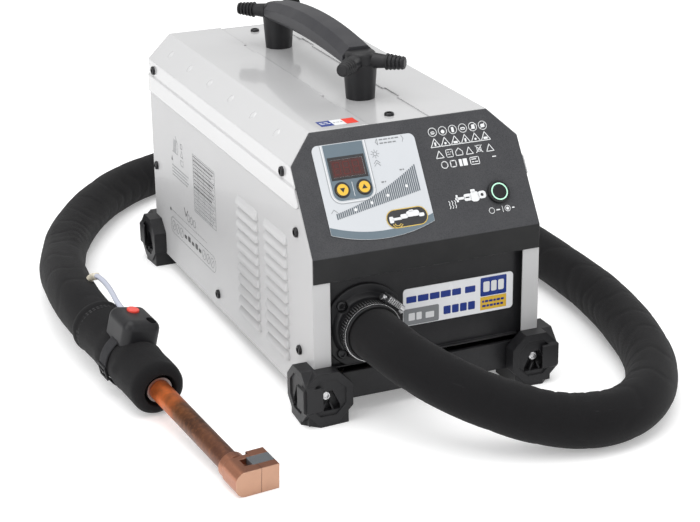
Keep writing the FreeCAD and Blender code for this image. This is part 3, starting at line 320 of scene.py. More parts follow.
def finish(name, paint, rough, metal=0.0, coat=0.0, grain=900.0, sharp=0.3, bump=0.05, depth=0.00008,
           edge=0.0006, edge_lightening=0.15, edge_tone=None, dust=0.06, speckle=0.0, mottle=0.06, shine=0.5,
           painted_shade_below=None):
    """Painted, plated or moulded surface with grain, softened edges made lighter, partly as wear and partly
    as painted highlight, and a little dust.

    Below the height given last, in metres, the paint is darkened as painted shade, for faces that look
    forward under a bend.
    """
    made, tree, shader = blank(name)
    place = place_of(tree)
    edges = effect(tree, "edges", Vector=place, Radius=edge, Wear=edge_lightening)
    texture = effect(tree, "grain", Vector=place, Scale=grain, Sharpness=sharp)
    dirt = effect(tree, "dust", Vector=place, Amount=dust)["Mask"]
    shade = mixed(tree, texture["Mottle"], toned(paint, 1 - mottle), toned(paint, 1 + mottle))
    if speckle:
        flecks = maths(tree, "MULTIPLY", texture["Speckle"], speckle)
        shade = mixed(tree, flecks, shade, toned(paint, 2.6, 0.02))
    if painted_shade_below:
        height = put(tree, "ShaderNodeSeparateXYZ", {"Vector": place}).outputs["Z"]
        above = ranged(tree, height, painted_shade_below, painted_shade_below + 0.001)
        # Painted shade: below that height the paint is darkened to three tenths of its colour.
        shade = mixed(tree, above, toned(paint, 0.3), shade)
    # Lighter edges: partly rubbed wear, partly painted highlight.
    shade = mixed(tree, edges["Mask"], shade, edge_tone or toned(paint, 1.7, 0.03))
    shade = mixed(tree, dirt, shade, DUST_GREY)
    gloss = ranged(tree, texture["Mottle"], 0.2, 0.8, max(0.02, rough - 0.04), rough + 0.05)
    gloss = maths(tree, "ADD", gloss, maths(tree, "MULTIPLY", dirt, 0.3), clamp=True)
    feed(tree, shader, Base_Color=shade, Roughness=gloss, Metallic=metal, Coat_Weight=coat,
         Coat_Roughness=0.05, Specular_IOR_Level=shine,
         Normal=bumped(tree, texture["Height"], bump, depth, edges["Normal"]))
    return made


def ink(name, paint, rough, bump=0.03, dust=0.03, mottle=0.05):
    """Printed ink, smooth and unworn."""
    return finish(name, paint, rough, grain=2500.0, bump=bump, edge=0.0001, edge_lightening=0.0, dust=dust,
                  mottle=mottle)


def cloth(name, thread, pitch=900.0, bump=0.55, lint=0.3):
    """Matte woven textile on the piece's own UV map."""
    made, tree, shader = blank(name)
    place = put(tree, "ShaderNodeUVMap", None, uv_map="cloth").outputs["UV"]
    weave = effect(tree, "weave", Vector=place, Threads_per_metre=pitch)
    shade = mixed(tree, weave["Shade"], toned(thread, 0.72), toned(thread, 1.45))
    cloud = ranged(tree, speck(tree, place_of(tree), 22.0, 3.0), 0.3, 0.7, 0.0, 0.5)
    shade = mixed(tree, cloud, shade, toned(thread, 1.5))
    shade = mixed(tree, maths(tree, "MULTIPLY", weave["Lint"], lint), shade, (0.09, 0.09, 0.095))
    feed(tree, shader, Base_Color=shade, Roughness=ranged(tree, weave["Shade"], 0.0, 1.0, 0.78, 0.95),
         Sheen_Weight=0.06, Sheen_Roughness=0.45, Specular_IOR_Level=0.15,
         Normal=bumped(tree, weave["Height"], bump, 0.00035))
    return made


def torch_distances(tree, place, *axes):
    """Distances from the torch's front rim along axes of the torch, in metres."""
    offset = put(tree, "ShaderNodeVectorMath", {0: place, 1: tuple(TORCH.translation)},
                 operation="SUBTRACT").outputs[0]
    return [put(tree, "ShaderNodeVectorMath", {0: offset, 1: tuple(TORCH.to_3x3() @ Vector(axis))},
                operation="DOT_PRODUCT").outputs["Value"] for axis in axes]


def scorched_copper(name):
    """Copper lance: orange at the torch, burnt brown in the middle, cleaner at the head."""
    made, tree, shader = blank(name)
    place = place_of(tree)
    reach = torch_distances(tree, place, (0, 1, 0))[0]
    stained = speck(tree, place, 70.0, 6.0, 0.62)
    drift = maths(tree, "MULTIPLY", maths(tree, "SUBTRACT", stained, 0.5), 0.05)
    spot = maths(tree, "ADD", reach, drift)
    ramp = put(tree, "ShaderNodeValToRGB", {"Fac": ranged(tree, spot, -0.156, 0.010)})
    stops = [(0.0, (0.20, 0.08, 0.05)), (0.12, (0.13, 0.055, 0.035)), (0.30, (0.15, 0.062, 0.034)),
             (0.48, colours().copper_dark), (0.64, (0.15, 0.055, 0.02)), (0.80, colours().copper_bright),
             (1.0, (0.66, 0.15, 0.04))]
    elements = ramp.color_ramp.elements
    while len(elements) < len(stops):
        elements.new(0.5)
    for element, (position, shade) in zip(elements, stops):
        element.position = position
        element.color = (*shade, 1.0)
    shade = mixed(tree, ranged(tree, speck(tree, place, 260.0, 4.0), 0.45, 0.75, 0.0, 0.45),
                  ramp.outputs["Color"], (0.30, 0.12, 0.05))
    texture = effect(tree, "grain", Vector=place, Scale=1400.0, Sharpness=0.1)
    feed(tree, shader, Base_Color=shade, Metallic=0.85,
         Roughness=ranged(tree, stained, 0.3, 0.7, 0.28, 0.5),
         Normal=bumped(tree, texture["Height"], 0.08, 0.0001))
    return made


def milled_copper(name):
    """Clean copper blocks with tool marks and softened edges, a painted darker top face and a painted lighter
    front face.
    """
    made, tree, shader = blank(name)
    place = place_of(tree)
    edges = effect(tree, "edges", Vector=place, Radius=0.0009, Wear=0.5)
    drawn = put(tree, "ShaderNodeMapping", {"Vector": place, "Rotation": (0.0, 0.0, -0.12),
                                            "Scale": (240.0, 14.0, 240.0)}).outputs["Vector"]
    marks = speck(tree, drawn, 6.0, 4.0, 0.6)
    tarnish = ranged(tree, speck(tree, place, 55.0, 5.0, 0.6), 0.40, 0.72, 0.0, 0.7)
    shade = mixed(tree, marks, toned(colours().copper, 0.80), colours().copper)
    shade = mixed(tree, tarnish, shade, (0.26, 0.105, 0.06))
    reach, across, rise = torch_distances(tree, place, (0, -1, 0), (1, 0, 0), (0, 0, 1))
    # Painted shade: the upper face of the head is darkened.
    painted_dark_top = ranged(tree, rise, 0.0112, 0.0119, 0.0, 0.6)
    shade = mixed(tree, painted_dark_top, shade, (0.17, 0.075, 0.048))
    # Painted highlight: the front face of the tip is lightened.
    painted_light_front = ranged(tree, reach, 0.1802, 0.1808, 0.0, 0.8)
    shade = mixed(tree, painted_light_front, shade, (0.46, 0.285, 0.20))
    # Bright copper edges: partly polished wear, partly painted highlight.
    shade = mixed(tree, edges["Mask"], shade, (0.80, 0.48, 0.35))
    split = put(tree, "ShaderNodeMath", {0: across, 1: 0.0114, 2: 0.00022}, operation="COMPARE").outputs[0]
    shade = mixed(tree, maths(tree, "MULTIPLY", split, 0.85), shade, (0.04, 0.02, 0.012))
    feed(tree, shader, Base_Color=shade, Metallic=0.9, Roughness=ranged(tree, marks, 0.2, 0.8, 0.24, 0.42),
         Normal=bumped(tree, marks, 0.2, 0.0001, edges["Normal"]))
    return made


def glowing(name, light, strength):
    """Lit translucent plastic, brighter in its middle."""
    made, tree, shader = blank(name)
    cloud = speck(tree, place_of(tree), 300.0, 2.0)
    shade = mixed(tree, cloud, toned(light, 0.85), toned(light, 1.1))
    feed(tree, shader, Base_Color=shade, Roughness=0.25, Emission_Color=shade, Emission_Strength=strength,
         Coat_Weight=0.4)
    return made


def make_finishes():
    """Every finish of the heater by name."""
    hue = colours()
    return {
        # The edges of the white paint are lightened to near white: painted highlight.
        "case_white": finish("Case White Paint", hue.case_white, 0.18, coat=0.7, grain=420.0, sharp=0.15,
                             bump=0.03, depth=0.00012, edge=0.0011, edge_lightening=0.10, edge_tone=(0.86, 0.86, 0.85),
                             dust=0.03, mottle=0.015),
        # The side panels take a darker copy of the case white: painted shade on the upright sides.
        "side_white": finish("Side Panel Paint With Painted Shade", toned(hue.case_white, 0.94), 0.42, coat=0.12,
                             grain=420.0, sharp=0.15, bump=0.05, depth=0.00012, edge=0.0011, edge_lightening=0.10,
                             edge_tone=(0.86, 0.86, 0.85), dust=0.03, mottle=0.015),
        # Below the bend, the bezel's vertical band is darkened as painted shade.
        "bezel_grey": finish("Bezel Textured Paint", hue.bezel_grey, 0.42, grain=1300.0, sharp=0.7, bump=0.4,
                             depth=0.00016, edge=0.0012, edge_lightening=0.5, edge_tone=(0.17, 0.17, 0.18), dust=0.04,
                             speckle=0.5, shine=0.3, painted_shade_below=0.1585),
        "panel_black": finish("Panel Black Paint", hue.panel_black, 0.36, grain=1100.0, sharp=0.6, bump=0.25,
                              edge=0.0009, edge_lightening=0.3, dust=0.05, speckle=0.12, shine=0.3),
        "plastic_black": finish("Moulded Black Plastic", hue.plastic_black, 0.42, grain=1500.0, sharp=0.5,
                                bump=0.22, edge=0.0012, edge_lightening=0.35, dust=0.04, shine=0.3),
        "grip_grey": finish("Grip Cover", hue.grip_grey, 0.46, grain=1700.0, sharp=0.5, bump=0.25,
                            edge=0.0015, edge_lightening=0.25, dust=0.04, shine=0.35),
        "screw_black": finish("Black Oxide", (0.018, 0.018, 0.02), 0.30, metal=0.6, grain=2200.0, bump=0.05,
                              edge=0.0004, edge_lightening=0.5, edge_tone=(0.3, 0.3, 0.3), dust=0.05),
        "steel": finish("Zinc Plate", hue.steel, 0.28, metal=1.0, grain=1600.0, bump=0.08, edge=0.0005,
                        edge_lightening=0.3, edge_tone=(0.8, 0.8, 0.8), dust=0.08, mottle=0.12),
        "nut_steel": finish("Stained Nut", (0.20, 0.165, 0.155), 0.38, metal=0.9, grain=900.0, bump=0.25,
                            edge=0.0006, edge_lightening=0.5, edge_tone=(0.5, 0.42, 0.38), dust=0.2, mottle=0.4),
        "aluminium": finish("Extruded Aluminium", (0.68, 0.69, 0.71), 0.34, metal=1.0, grain=1200.0, bump=0.1,
                            edge_lightening=0.2, mottle=0.05),
        "film": finish("Printed Film", hue.film_grey, 0.22, coat=0.3, grain=700.0, bump=0.03, edge=0.0002,
                       edge_lightening=0.0, dust=0.02, mottle=0.02),
        "label": finish("Front Label", (0.80, 0.81, 0.83), 0.25, coat=0.3, grain=700.0, bump=0.03,
                        edge=0.0003, edge_lightening=0.1, dust=0.02, mottle=0.02),
        "window": finish("Smoked Red Window", (0.055, 0.012, 0.010), 0.08, coat=1.0, grain=500.0, bump=0.01,
                         edge=0.0003, edge_lightening=0.0, dust=0.02, mottle=0.35),
        "yellow": finish("Yellow Key", hue.key_yellow, 0.32, coat=0.4, grain=900.0, bump=0.05, edge=0.0006,
                         edge_lightening=0.2, edge_tone=(0.95, 0.75, 0.25), dust=0.03),
        "red": finish("Red Trigger", hue.trigger_red, 0.35, coat=0.2, grain=1200.0, bump=0.12, edge=0.0009,
                      edge_lightening=0.3, edge_tone=(0.9, 0.3, 0.22), dust=0.03),
        "ferrite": finish("Ferrite", (0.060, 0.066, 0.072), 0.36, metal=0.2, grain=2600.0, sharp=0.8,
                          bump=0.3, edge=0.0006, edge_lightening=0.5, edge_tone=(0.22, 0.23, 0.24), dust=0.05,
                          speckle=0.35),
        "former": finish("Insulating Former", (0.11, 0.075, 0.05), 0.55, grain=900.0, bump=0.3, mottle=0.2),
        "circuit": finish("Circuit Board", (0.02, 0.15, 0.06), 0.35, coat=0.3, grain=1500.0, sharp=0.9,
                          bump=0.3, speckle=0.2, mottle=0.15),
        "tank": finish("Coolant Tank", (0.72, 0.78, 0.76), 0.25, coat=0.3, grain=500.0, bump=0.08),
        "winding": finish("Winding", (0.55, 0.22, 0.06), 0.32, metal=0.7, grain=800.0, sharp=0.9, bump=0.6,
                          mottle=0.2),
        "ink_white": ink("White Print", (0.70, 0.71, 0.72), 0.4, bump=0.05, dust=0.08),
        "ink_black": ink("Black Print", (0.02, 0.02, 0.022), 0.35, bump=0.05, dust=0.05, mottle=0.1),
        "ink_blue": ink("Blue-grey Print", hue.band_blue, 0.3, mottle=0.04),
        "ink_grey": ink("Grey Print", (0.20, 0.21, 0.22), 0.35),
        "ink_slate": ink("Slate Print", (0.095, 0.115, 0.135), 0.32, mottle=0.04),
        "ink_gold": ink("Gold Print", (0.62, 0.44, 0.10), 0.3),
        "label_blue": ink("Label Blue", hue.label_blue, 0.28, dust=0.02, mottle=0.04),
        "segment": glowing("Dim Segment", (0.085, 0.012, 0.010), 0.05),
        "glow": glowing("Lit Ring", hue.glow_green, 0.35),
        "fabric": cloth("Textile Sleeve", hue.fabric_black),
        "webbing": cloth("Strap Webbing", (0.022, 0.022, 0.024), pitch=700.0, bump=0.8, lint=0.3),
        "thread": finish("Sewing Thread", (0.045, 0.045, 0.048), 0.7, grain=3000.0, bump=0.4, edge_lightening=0.0,
                         dust=0.1),
        "lead": finish("Lead Jacket", hue.lead_grey, 0.38, grain=700.0, bump=0.08, edge=0.0004, edge_lightening=0.0,
                       dust=0.08, mottle=0.05),
        "tape": finish("Cream Tape", (0.62, 0.57, 0.46), 0.55, grain=1200.0, sharp=0.8, bump=0.35,
                       edge=0.0004, edge_lightening=0.2, dust=0.25, mottle=0.12),
        "lance": scorched_copper("Scorched Copper"),
        "copper": milled_copper("Milled Copper"),
    }


FINISHES = {}


def coat_with(name):
    """The finish of that name; all are made the first time one is asked for."""
    if not FINISHES:
        FINISHES.update(make_finishes())
    return FINISHES[name]


NODE_FINISH = {
    "case_white": ("left_top_cover", "right_top_cover", "top_rail"),
    "side_white": ("left_side_panel", "right_side_panel"),
    "bezel_grey": ("control_bezel",),
    "panel_black": ("front_panel", "rear_panel", "base_tray"),
    "plastic_black": ("front_left_foot", "front_right_foot", "rear_left_foot", "rear_right_foot",
                      "front_handle_end", "rear_handle_end", "hose_flange", "trigger_housing",
                      "power_button_housing", "power_button_cap", "fan_frame", "fan_rotor", "mains_gland",
                      "coolant_cap", "pump_body", "pump_impeller"),
    "grip_grey": ("handle_grip",),
    "screw_black": ("case_screws", "flange_screws", "handle_screws", "hose_clamp_band"),
    "steel": ("foot_screws", "hose_clamp_screw", "trigger_screw", "transformer_bracket", "mains_filter"),
    "nut_steel": ("nose_nut",),
    "aluminium": ("heat_sink", "radiator", "capacitors"),
    "film": ("keypad_overlay",),
    "label": ("label_plate",),
    "window": ("display_window",),
    "yellow": ("key_down", "key_up"),
    "red": ("trigger_button",),
    "ferrite": ("ferrite_core",),
    "former": ("torch_core",),
    "circuit": ("display_board", "inverter_board"),
    "tank": ("coolant_tank",),
    "winding": ("output_transformer",),
    "glow": ("power_button_ring",),
    "lance": ("lance_tube",),
    "copper": ("head_collar", "inductor_body", "inductor_tip"),
}
SOFT_NODES = ("umbilical_hose", "torch_sleeve", "trigger_strap", "trigger_lead")   # replaced by pieces


# ---------------------------------------------------------------- places
def torch_matrix():
    """Torch resting on its sleeve and its head: local +Y points back along the sleeve."""
    tilt = math.atan2(SLEEVE_RADIUS - HEAD_RADIUS, HEAD_REACH)
    turn = Matrix.Rotation(TORCH_YAW, 4, "Z") @ Matrix.Rotation(tilt, 4, "X")
    height = SLEEVE_RADIUS * math.cos(tilt) + FLOOR_GAP
    return Matrix.Translation(Vector((TORCH_X, TORCH_Y, height)) * MM) @ turn


TORCH = torch_matrix()
TRIGGER = TORCH @ Matrix.Rotation(TRIGGER_ROLL, 4, "Y")
BEZEL = Matrix.Translation(Vector((0, -235.44, 159.0)) * MM) @ Matrix.Rotation(math.radians(56.445), 4, "X")
FRONT = Matrix(((1, 0, 0, 0), (0, 0, -1, 0), (0, 1, 0, 0), (0, 0, 0, 1)))
LEFT = Matrix(((0, 0, -1, 0), (-1, 0, 0, 0), (0, 1, 0, 0), (0, 0, 0, 1)))
TOP = Matrix.Identity(4)


def new_piece(name, mesh, materials=(), body="case", smooth=True, replaces=()):
    """Links a mesh as a piece at the origin, and lets it ride on a body."""
    made = bpy.data.objects.new(name, mesh)
    bpy.context.scene.collection.objects.link(made)
    for material in materials:
        mesh.materials.append(material)
    if smooth:
        mesh.shade_smooth()
    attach(made, body)
    if replaces:
        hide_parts(*replaces)
    return made


def mesh_from(name, shape):
    """Mesh of a bmesh, with its normals made to point outwards."""
    bmesh.ops.recalc_face_normals(shape, faces=shape.faces)
    mesh = bpy.data.meshes.new(name)
    shape.to_mesh(mesh)
    shape.free()
    return mesh


# ---------------------------------------------------------------- tubes
ROUTE = [(OUTLET_X, -229, OUTLET_Z), (OUTLET_X, -269, OUTLET_Z), (-42, -317, 70), (1, -350, 48),
         (50, -376, 31)]
ROUTE += [(x, y, HOSE_LAY) for x, y in (
    (102, -387), (150, -370), (189, -327), (215, -272), (234, -202), (247, -128), (251, -42), (250, 50),
    (246, 146), (232, 240), (204, 326), (158, 400), (94, 452), (18, 470), (-56, 452), (-122, 402),
    (-174, 334), (-212, 266))]
ROUTE += [(-235, 200, 27.3), (-252, 136, 37.3)]
ROUTE += [tuple((TORCH @ Vector((0, back, 0))) / MM) for back in (0.204, 0.148)]


def spline_line(name, points):
    """Points read from a NURBS spline whose control points are given, in metres."""
    data = bpy.data.curves.new(name, "CURVE")
    data.dimensions = "3D"
    spline = data.splines.new("NURBS")
    spline.points.add(len(points) - 1)
    for control, point in zip(spline.points, points):
        control.co = (*point, 1.0)
    spline.order_u = 3
    spline.use_endpoint_u = True
    spline.resolution_u = 24
    guide = bpy.data.objects.new(name, data)
    bpy.context.scene.collection.objects.link(guide)
    mesh = bpy.data.meshes.new_from_object(guide.evaluated_get(bpy.context.evaluated_depsgraph_get()))
    line = [v.co.copy() for v in mesh.vertices]
    bpy.data.objects.remove(guide)
    bpy.data.curves.remove(data)
    bpy.data.meshes.remove(mesh)
    return line


def evenly(line, step):
    """The same line with points an even distance apart."""
    run = [0.0]
    for a, b in zip(line, line[1:]):
        run.append(run[-1] + (b - a).length)
    count = max(2, round(run[-1] / step))
    even, k = [], 0
    for i in range(count + 1):
        target = run[-1] * i / count
        while k < len(run) - 2 and run[k + 1] < target:
            k += 1
        span = run[k + 1] - run[k]
        even.append(line[k].lerp(line[k + 1], (target - run[k]) / span if span else 0.0))
    return even, run[-1]


def frames_along(line):
    """Tangent, side and up at each point, turned as little as possible on the way."""
    frames = []
    up = Vector((0, 0, 1))
    for i in range(len(line)):
        tangent = (line[min(i + 1, len(line) - 1)] - line[max(i - 1, 0)]).normalized()
        up = (up - tangent * up.dot(tangent)).normalized()
        frames.append((tangent, tangent.cross(up), up.copy()))
    return frames


def skin_rings(shell, rings, girth, runs):
    """Closed skin over rings of vertices, with a UV map in metres round and along it."""
    sheet = shell.loops.layers.uv.new("cloth")
    sides = len(rings[0])
    for i, (first, second) in enumerate(zip(rings, rings[1:])):
        for k in range(sides):
            after = (k + 1) % sides
            face = shell.faces.new((first[k], first[after], second[after], second[k]))
            for loop, u, v in zip(face.loops, (k, k + 1, k + 1, k), (i, i, i + 1, i + 1)):
                loop[sheet].uv = (girth * u / sides, runs[v])
    for ring in (rings[0], rings[-1]):
        middle = shell.verts.new(sum((v.co for v in ring), Vector()) / sides)
        for k in range(sides):
            shell.faces.new((ring[k], ring[(k + 1) % sides], middle))


def tube_mesh(name, line, radius, sides, shape=None):
    """Skin round a line; shape(i, angle, direction, bend) gives how far a point stands out, in metres."""
    frames = frames_along(line)
    step = (line[1] - line[0]).length
    bends = []
    for i in range(len(line)):
        a, b, c = line[max(i - 3, 0)], line[i], line[min(i + 3, len(line) - 1)]
        turn = (c - b).normalized() - (b - a).normalized() if (b - a).length and (c - b).length else Vector()
        bends.append(turn / (3 * step))
    shell = bmesh.new()
    rings = []
    for i, (point, (_, side, up)) in enumerate(zip(line, frames)):
        ring = []
        for k in range(sides):
            angle = 2 * math.pi * k / sides
            way = side * math.cos(angle) + up * math.sin(angle)
            out = radius + (shape(i, angle, way, bends[i]) if shape else 0.0)
            ring.append(shell.verts.new(point + way * out))
        rings.append(ring)
    skin_rings(shell, rings, 2 * math.pi * radius, [i * step for i in range(len(line))])
    return mesh_from(name, shell)


def on_floor(mesh, lowest=0.0003):
    """Flattens what would reach into the floor."""
    for v in mesh.vertices:
        v.co.z = max(v.co.z, lowest)


# ---------------------------------------------------------------- prints
def rounded(x0, x1, y0, y1, radius=0.0, steps=5):
    """Outline of a rectangle with round corners."""
    radius = min(radius, (x1 - x0) / 2, (y1 - y0) / 2)
    if radius <= 0:
        return [(x0, y0), (x1, y0), (x1, y1), (x0, y1)]
    outline = []
    for cx, cy, start in ((x1 - radius, y0 + radius, -90), (x1 - radius, y1 - radius, 0),
                          (x0 + radius, y1 - radius, 90), (x0 + radius, y0 + radius, 180)):
        for k in range(steps + 1):
            angle = math.radians(start + 90 * k / steps)
            outline.append((cx + radius * math.cos(angle), cy + radius * math.sin(angle)))
    return outline


def arc(x, y, radius, start, end, steps=10):
    """Points along an arc, both ends included; angles in degrees."""
    turns = [math.radians(start + (end - start) * k / steps) for k in range(steps + 1)]
    return [(x + radius * math.cos(turn), y + radius * math.sin(turn)) for turn in turns]


def round_mark(x, y, radius, steps=24):
    """Outline of a disc."""
    return arc(x, y, radius, 0, 360, steps)[:-1]


def ring_mark(x, y, inner, outer, steps=32):
    """Flat ring as a row of quads."""
    near, far = arc(x, y, inner, 0, 360, steps), arc(x, y, outer, 0, 360, steps)
    return [[near[k], far[k], far[k + 1], near[k + 1]] for k in range(steps)]


def stroke(points, width):
    """Quads along a bent line."""
    quads = []
    for (x0, y0), (x1, y1) in zip(points, points[1:]):
        run = math.hypot(x1 - x0, y1 - y0) or 1.0
        nx, ny = -(y1 - y0) / run * width / 2, (x1 - x0) / run * width / 2
        ex, ey = (x1 - x0) / run * width * 0.3, (y1 - y0) / run * width * 0.3
        quads.append([(x0 - nx - ex, y0 - ny - ey), (x1 - nx + ex, y1 - ny + ey),
                      (x1 + nx + ex, y1 + ny + ey), (x0 + nx - ex, y0 + ny - ey)])
    return quads


def outline_of(points, width):
    """Line of that width round a closed outline."""
    return stroke(list(points) + [points[0]], width)


class PrintSheet:
    """Flat marks in millimetres on one plane, each with its ink and its layer."""

    def __init__(self):
        self.marks = []

    def add(self, ink, shapes, layer=0):
        """Adds one outline, or a list of them."""
        if shapes and isinstance(shapes[0][0], (int, float)):
            shapes = [shapes]
        for shape in shapes:
            self.marks.append((ink, shape, layer))

    def piece(self, name, place, body="case", slot="film", floor=0.0):
        """Thin closed plates, a later layer standing a little higher."""
        inks = sorted({ink for ink, _, _ in self.marks})
        plates = bmesh.new()
        thick = sizes().print_thickness / MM
        lift = sizes().print_lift / MM + floor
        for ink, shape, layer in self.marks:
            low, high = lift + layer * thick * 0.6, lift + (layer + 1) * thick
            bottom = [plates.verts.new(place @ (Vector((x, y, low)) * MM)) for x, y in shape]
            upper = [plates.verts.new(place @ (Vector((x, y, high)) * MM)) for x, y in shape]
            faces = [plates.faces.new(upper), plates.faces.new(bottom[::-1])]
            for k in range(len(shape)):
                after = (k + 1) % len(shape)
                faces.append(plates.faces.new((bottom[k], bottom[after], upper[after], upper[k])))
            for face in faces:
                face.material_index = inks.index(ink)
        return new_piece(name, mesh_from(name, plates), [coat_with(ink) for ink in inks], body,
                         smooth=False)


# ---------------------------------------------------------------- geometry node trees
def geometry_tree(name, inputs):
    """Empty geometry tree with a Geometry output; returns it, its inputs and its output."""
    tree = bpy.data.node_groups.new(name, "GeometryNodeTree")
    tree.interface.new_socket("Geometry", in_out="INPUT", socket_type="NodeSocketGeometry")
    for label, kind in inputs:
        tree.interface.new_socket(label, in_out="INPUT", socket_type="NodeSocket" + kind)
    tree.interface.new_socket("Geometry", in_out="OUTPUT", socket_type="NodeSocketGeometry")
    return tree, tree.nodes.new("NodeGroupInput").outputs, tree.nodes.new("NodeGroupOutput").inputs


def end_tree(tree, given, result, instances):
    """Realizes the instances and gives them the material."""
    real = put(tree, "GeometryNodeRealizeInstances", {"Geometry": instances}).outputs[0]
    coated = put(tree, "GeometryNodeSetMaterial", {"Geometry": real,
                                                   "Material": given["Material"]}).outputs[0]
    tree.links.new(coated, result["Geometry"])
    return tree


def row_tree():
    """Bars in a row from a common base line, growing along it by a power law."""
    tree, given, result = geometry_tree("Row of Bars", [
        ("Count", "Int"), ("First", "Vector"), ("Pitch", "Vector"), ("Bar", "Vector"),
        ("Growth", "Float"), ("Power", "Float"), ("Material", "Material")])
    line = put(tree, "GeometryNodeMeshLine", {"Count": given["Count"], "Start Location": given["First"],
                                              "Offset": given["Pitch"]}).outputs[0]
    index = put(tree, "GeometryNodeInputIndex").outputs[0]
    rise = maths(tree, "MULTIPLY", maths(tree, "POWER", index, given["Power"]), given["Growth"])
    tall = maths(tree, "ADD", rise, 1.0)
    grow = put(tree, "ShaderNodeCombineXYZ", {"X": 1.0, "Y": tall, "Z": 1.0}).outputs[0]
    bar = put(tree, "GeometryNodeMeshCube", {"Size": given["Bar"]}).outputs[0]
    half = put(tree, "ShaderNodeVectorMath", {0: given["Bar"], 1: (0.0, 0.5, 0.0)},
               operation="MULTIPLY").outputs[0]
    bar = put(tree, "GeometryNodeTransform", {"Geometry": bar, "Translation": half}).outputs[0]
    rows = put(tree, "GeometryNodeInstanceOnPoints", {"Points": line, "Instance": bar,
                                                      "Scale": grow}).outputs[0]
    return end_tree(tree, given, result, rows)


def hoop_tree():
    """Bars set round a circle about local Z, turned to follow it."""
    tree, given, result = geometry_tree("Hoop of Bars", [
        ("Count", "Int"), ("Radius", "Float"), ("Bar", "Vector"), ("Material", "Material")])
    hoop = put(tree, "GeometryNodeMeshCircle", {"Vertices": given["Count"],
                                                "Radius": given["Radius"]}).outputs[0]
    index = put(tree, "GeometryNodeInputIndex").outputs[0]
    angle = maths(tree, "MULTIPLY", maths(tree, "DIVIDE", index, given["Count"]), 2 * math.pi)
    turned = put(tree, "ShaderNodeCombineXYZ", {"X": 0.0, "Y": 0.0, "Z": angle}).outputs[0]
    bar = put(tree, "GeometryNodeMeshCube", {"Size": given["Bar"]}).outputs[0]
    bars = put(tree, "GeometryNodeInstanceOnPoints", {"Points": hoop, "Instance": bar,
                                                      "Rotation": turned}).outputs[0]
    return end_tree(tree, given, result, bars)


def seam_tree():
    """Short stitches at an even pitch along the given edges."""
    tree, given, result = geometry_tree("Stitched Seam", [
        ("Pitch", "Float"), ("Length", "Float"), ("Thickness", "Float"), ("Material", "Material")])
    path = put(tree, "GeometryNodeMeshToCurve", {"Mesh": given["Geometry"]}).outputs[0]
    points = put(tree, "GeometryNodeCurveToPoints", {"Curve": path, "Length": given["Pitch"]}, mode="LENGTH")
    stitch = put(tree, "GeometryNodeMeshUVSphere", {"Segments": 8, "Rings": 6, "Radius": given["Thickness"]})
    half = maths(tree, "MULTIPLY", maths(tree, "DIVIDE", given["Length"], given["Thickness"]), 0.5)
    stretch = put(tree, "ShaderNodeCombineXYZ", {"X": 1.0, "Y": 1.0, "Z": half}).outputs[0]
    seam = put(tree, "GeometryNodeInstanceOnPoints", {
        "Points": points.outputs["Points"], "Instance": stitch.outputs[0],
        "Rotation": points.outputs["Rotation"], "Scale": stretch}).outputs[0]
    return end_tree(tree, given, result, seam)


TREES = {}


def grown(name, maker, place, values, base=None, smooth=False):
    """Runs a geometry tree and keeps the result as a plain mesh piece on the case."""
    if maker not in TREES:
        TREES[maker] = maker()
    tree = TREES[maker]
    carrier = bpy.data.objects.new(name + "_maker", base or bpy.data.meshes.new(name + "_maker"))
    bpy.context.scene.collection.objects.link(carrier)
    modifier = carrier.modifiers.new("Repeat", "NODES")
    modifier.node_group = tree
    for socket in tree.interface.items_tree:
        if socket.in_out == "INPUT" and socket.name in values:
            modifier[socket.identifier] = values[socket.name]
    carrier.update_tag()
    evaluated = carrier.evaluated_get(bpy.context.evaluated_depsgraph_get())
    mesh = bpy.data.meshes.new_from_object(evaluated)
    carrier.modifiers.remove(modifier)
    bpy.data.objects.remove(carrier)
    mesh.transform(place)
    if place.determinant() < 0:
        mesh.flip_normals()
    return new_piece(name, mesh, smooth=smooth)


class HEATER_OT_umbilical(bpy.types.Operator):
    """Sleeved umbilical from the front flange to the torch"""
    bl_idname = "heater.umbilical"
    bl_label = "Umbilical"

    def execute(self, context):
        size = sizes()
        route = [tuple(c * MM for c in point) for point in ROUTE]
        line, run = evenly(spline_line("umbilical_route", route), size.hose_step)
        pitch, deep = size.crease_pitch, size.crease_depth

        def folds(i, angle, way, bend):
            """Creases inside a bend, a slight unevenness and the sleeve's faint ribs."""
            s = i * size.hose_step
            calm = min(1.0, s / 0.05, (run - s) / 0.03)
            sharp = bend.length
            inner = max(0.0, way.dot(bend) / sharp) if sharp > 1e-6 else 0.0
            wander = noise.noise(Vector((s * 9.0, math.cos(angle) * 0.8, math.sin(angle) * 0.8)))
            phase = s / pitch + 1.1 * wander + 0.35 * math.sin(angle * 2 + s * 12)
            valley = (1.0 - abs(math.sin(math.pi * phase))) ** 3
            fold = -deep * valley * min(1.0, sharp / 9.0) * inner ** 1.3
            swell = 0.0006 * noise.noise(Vector((s * 26.0, math.cos(angle) * 1.6, math.sin(angle) * 1.6)))
            slack = 0.0009 * noise.noise(Vector((s * 7.0 + 5.0, math.cos(angle), math.sin(angle))))
            rib = -0.0006 * (1.0 - abs(math.sin(math.pi * s / 0.047 + wander * 2.5))) ** 6
            tuck = -0.0004
            return calm * (fold + swell + slack + rib) + tuck

        mesh = tube_mesh("umbilical_sleeve", line, size.hose_diameter / 2, size.hose_sides, folds)
        on_floor(mesh)
        hose = new_piece("umbilical_sleeve", mesh, [coat_with("fabric")],
                         replaces=("umbilical_hose",))
        return {"FINISHED"}


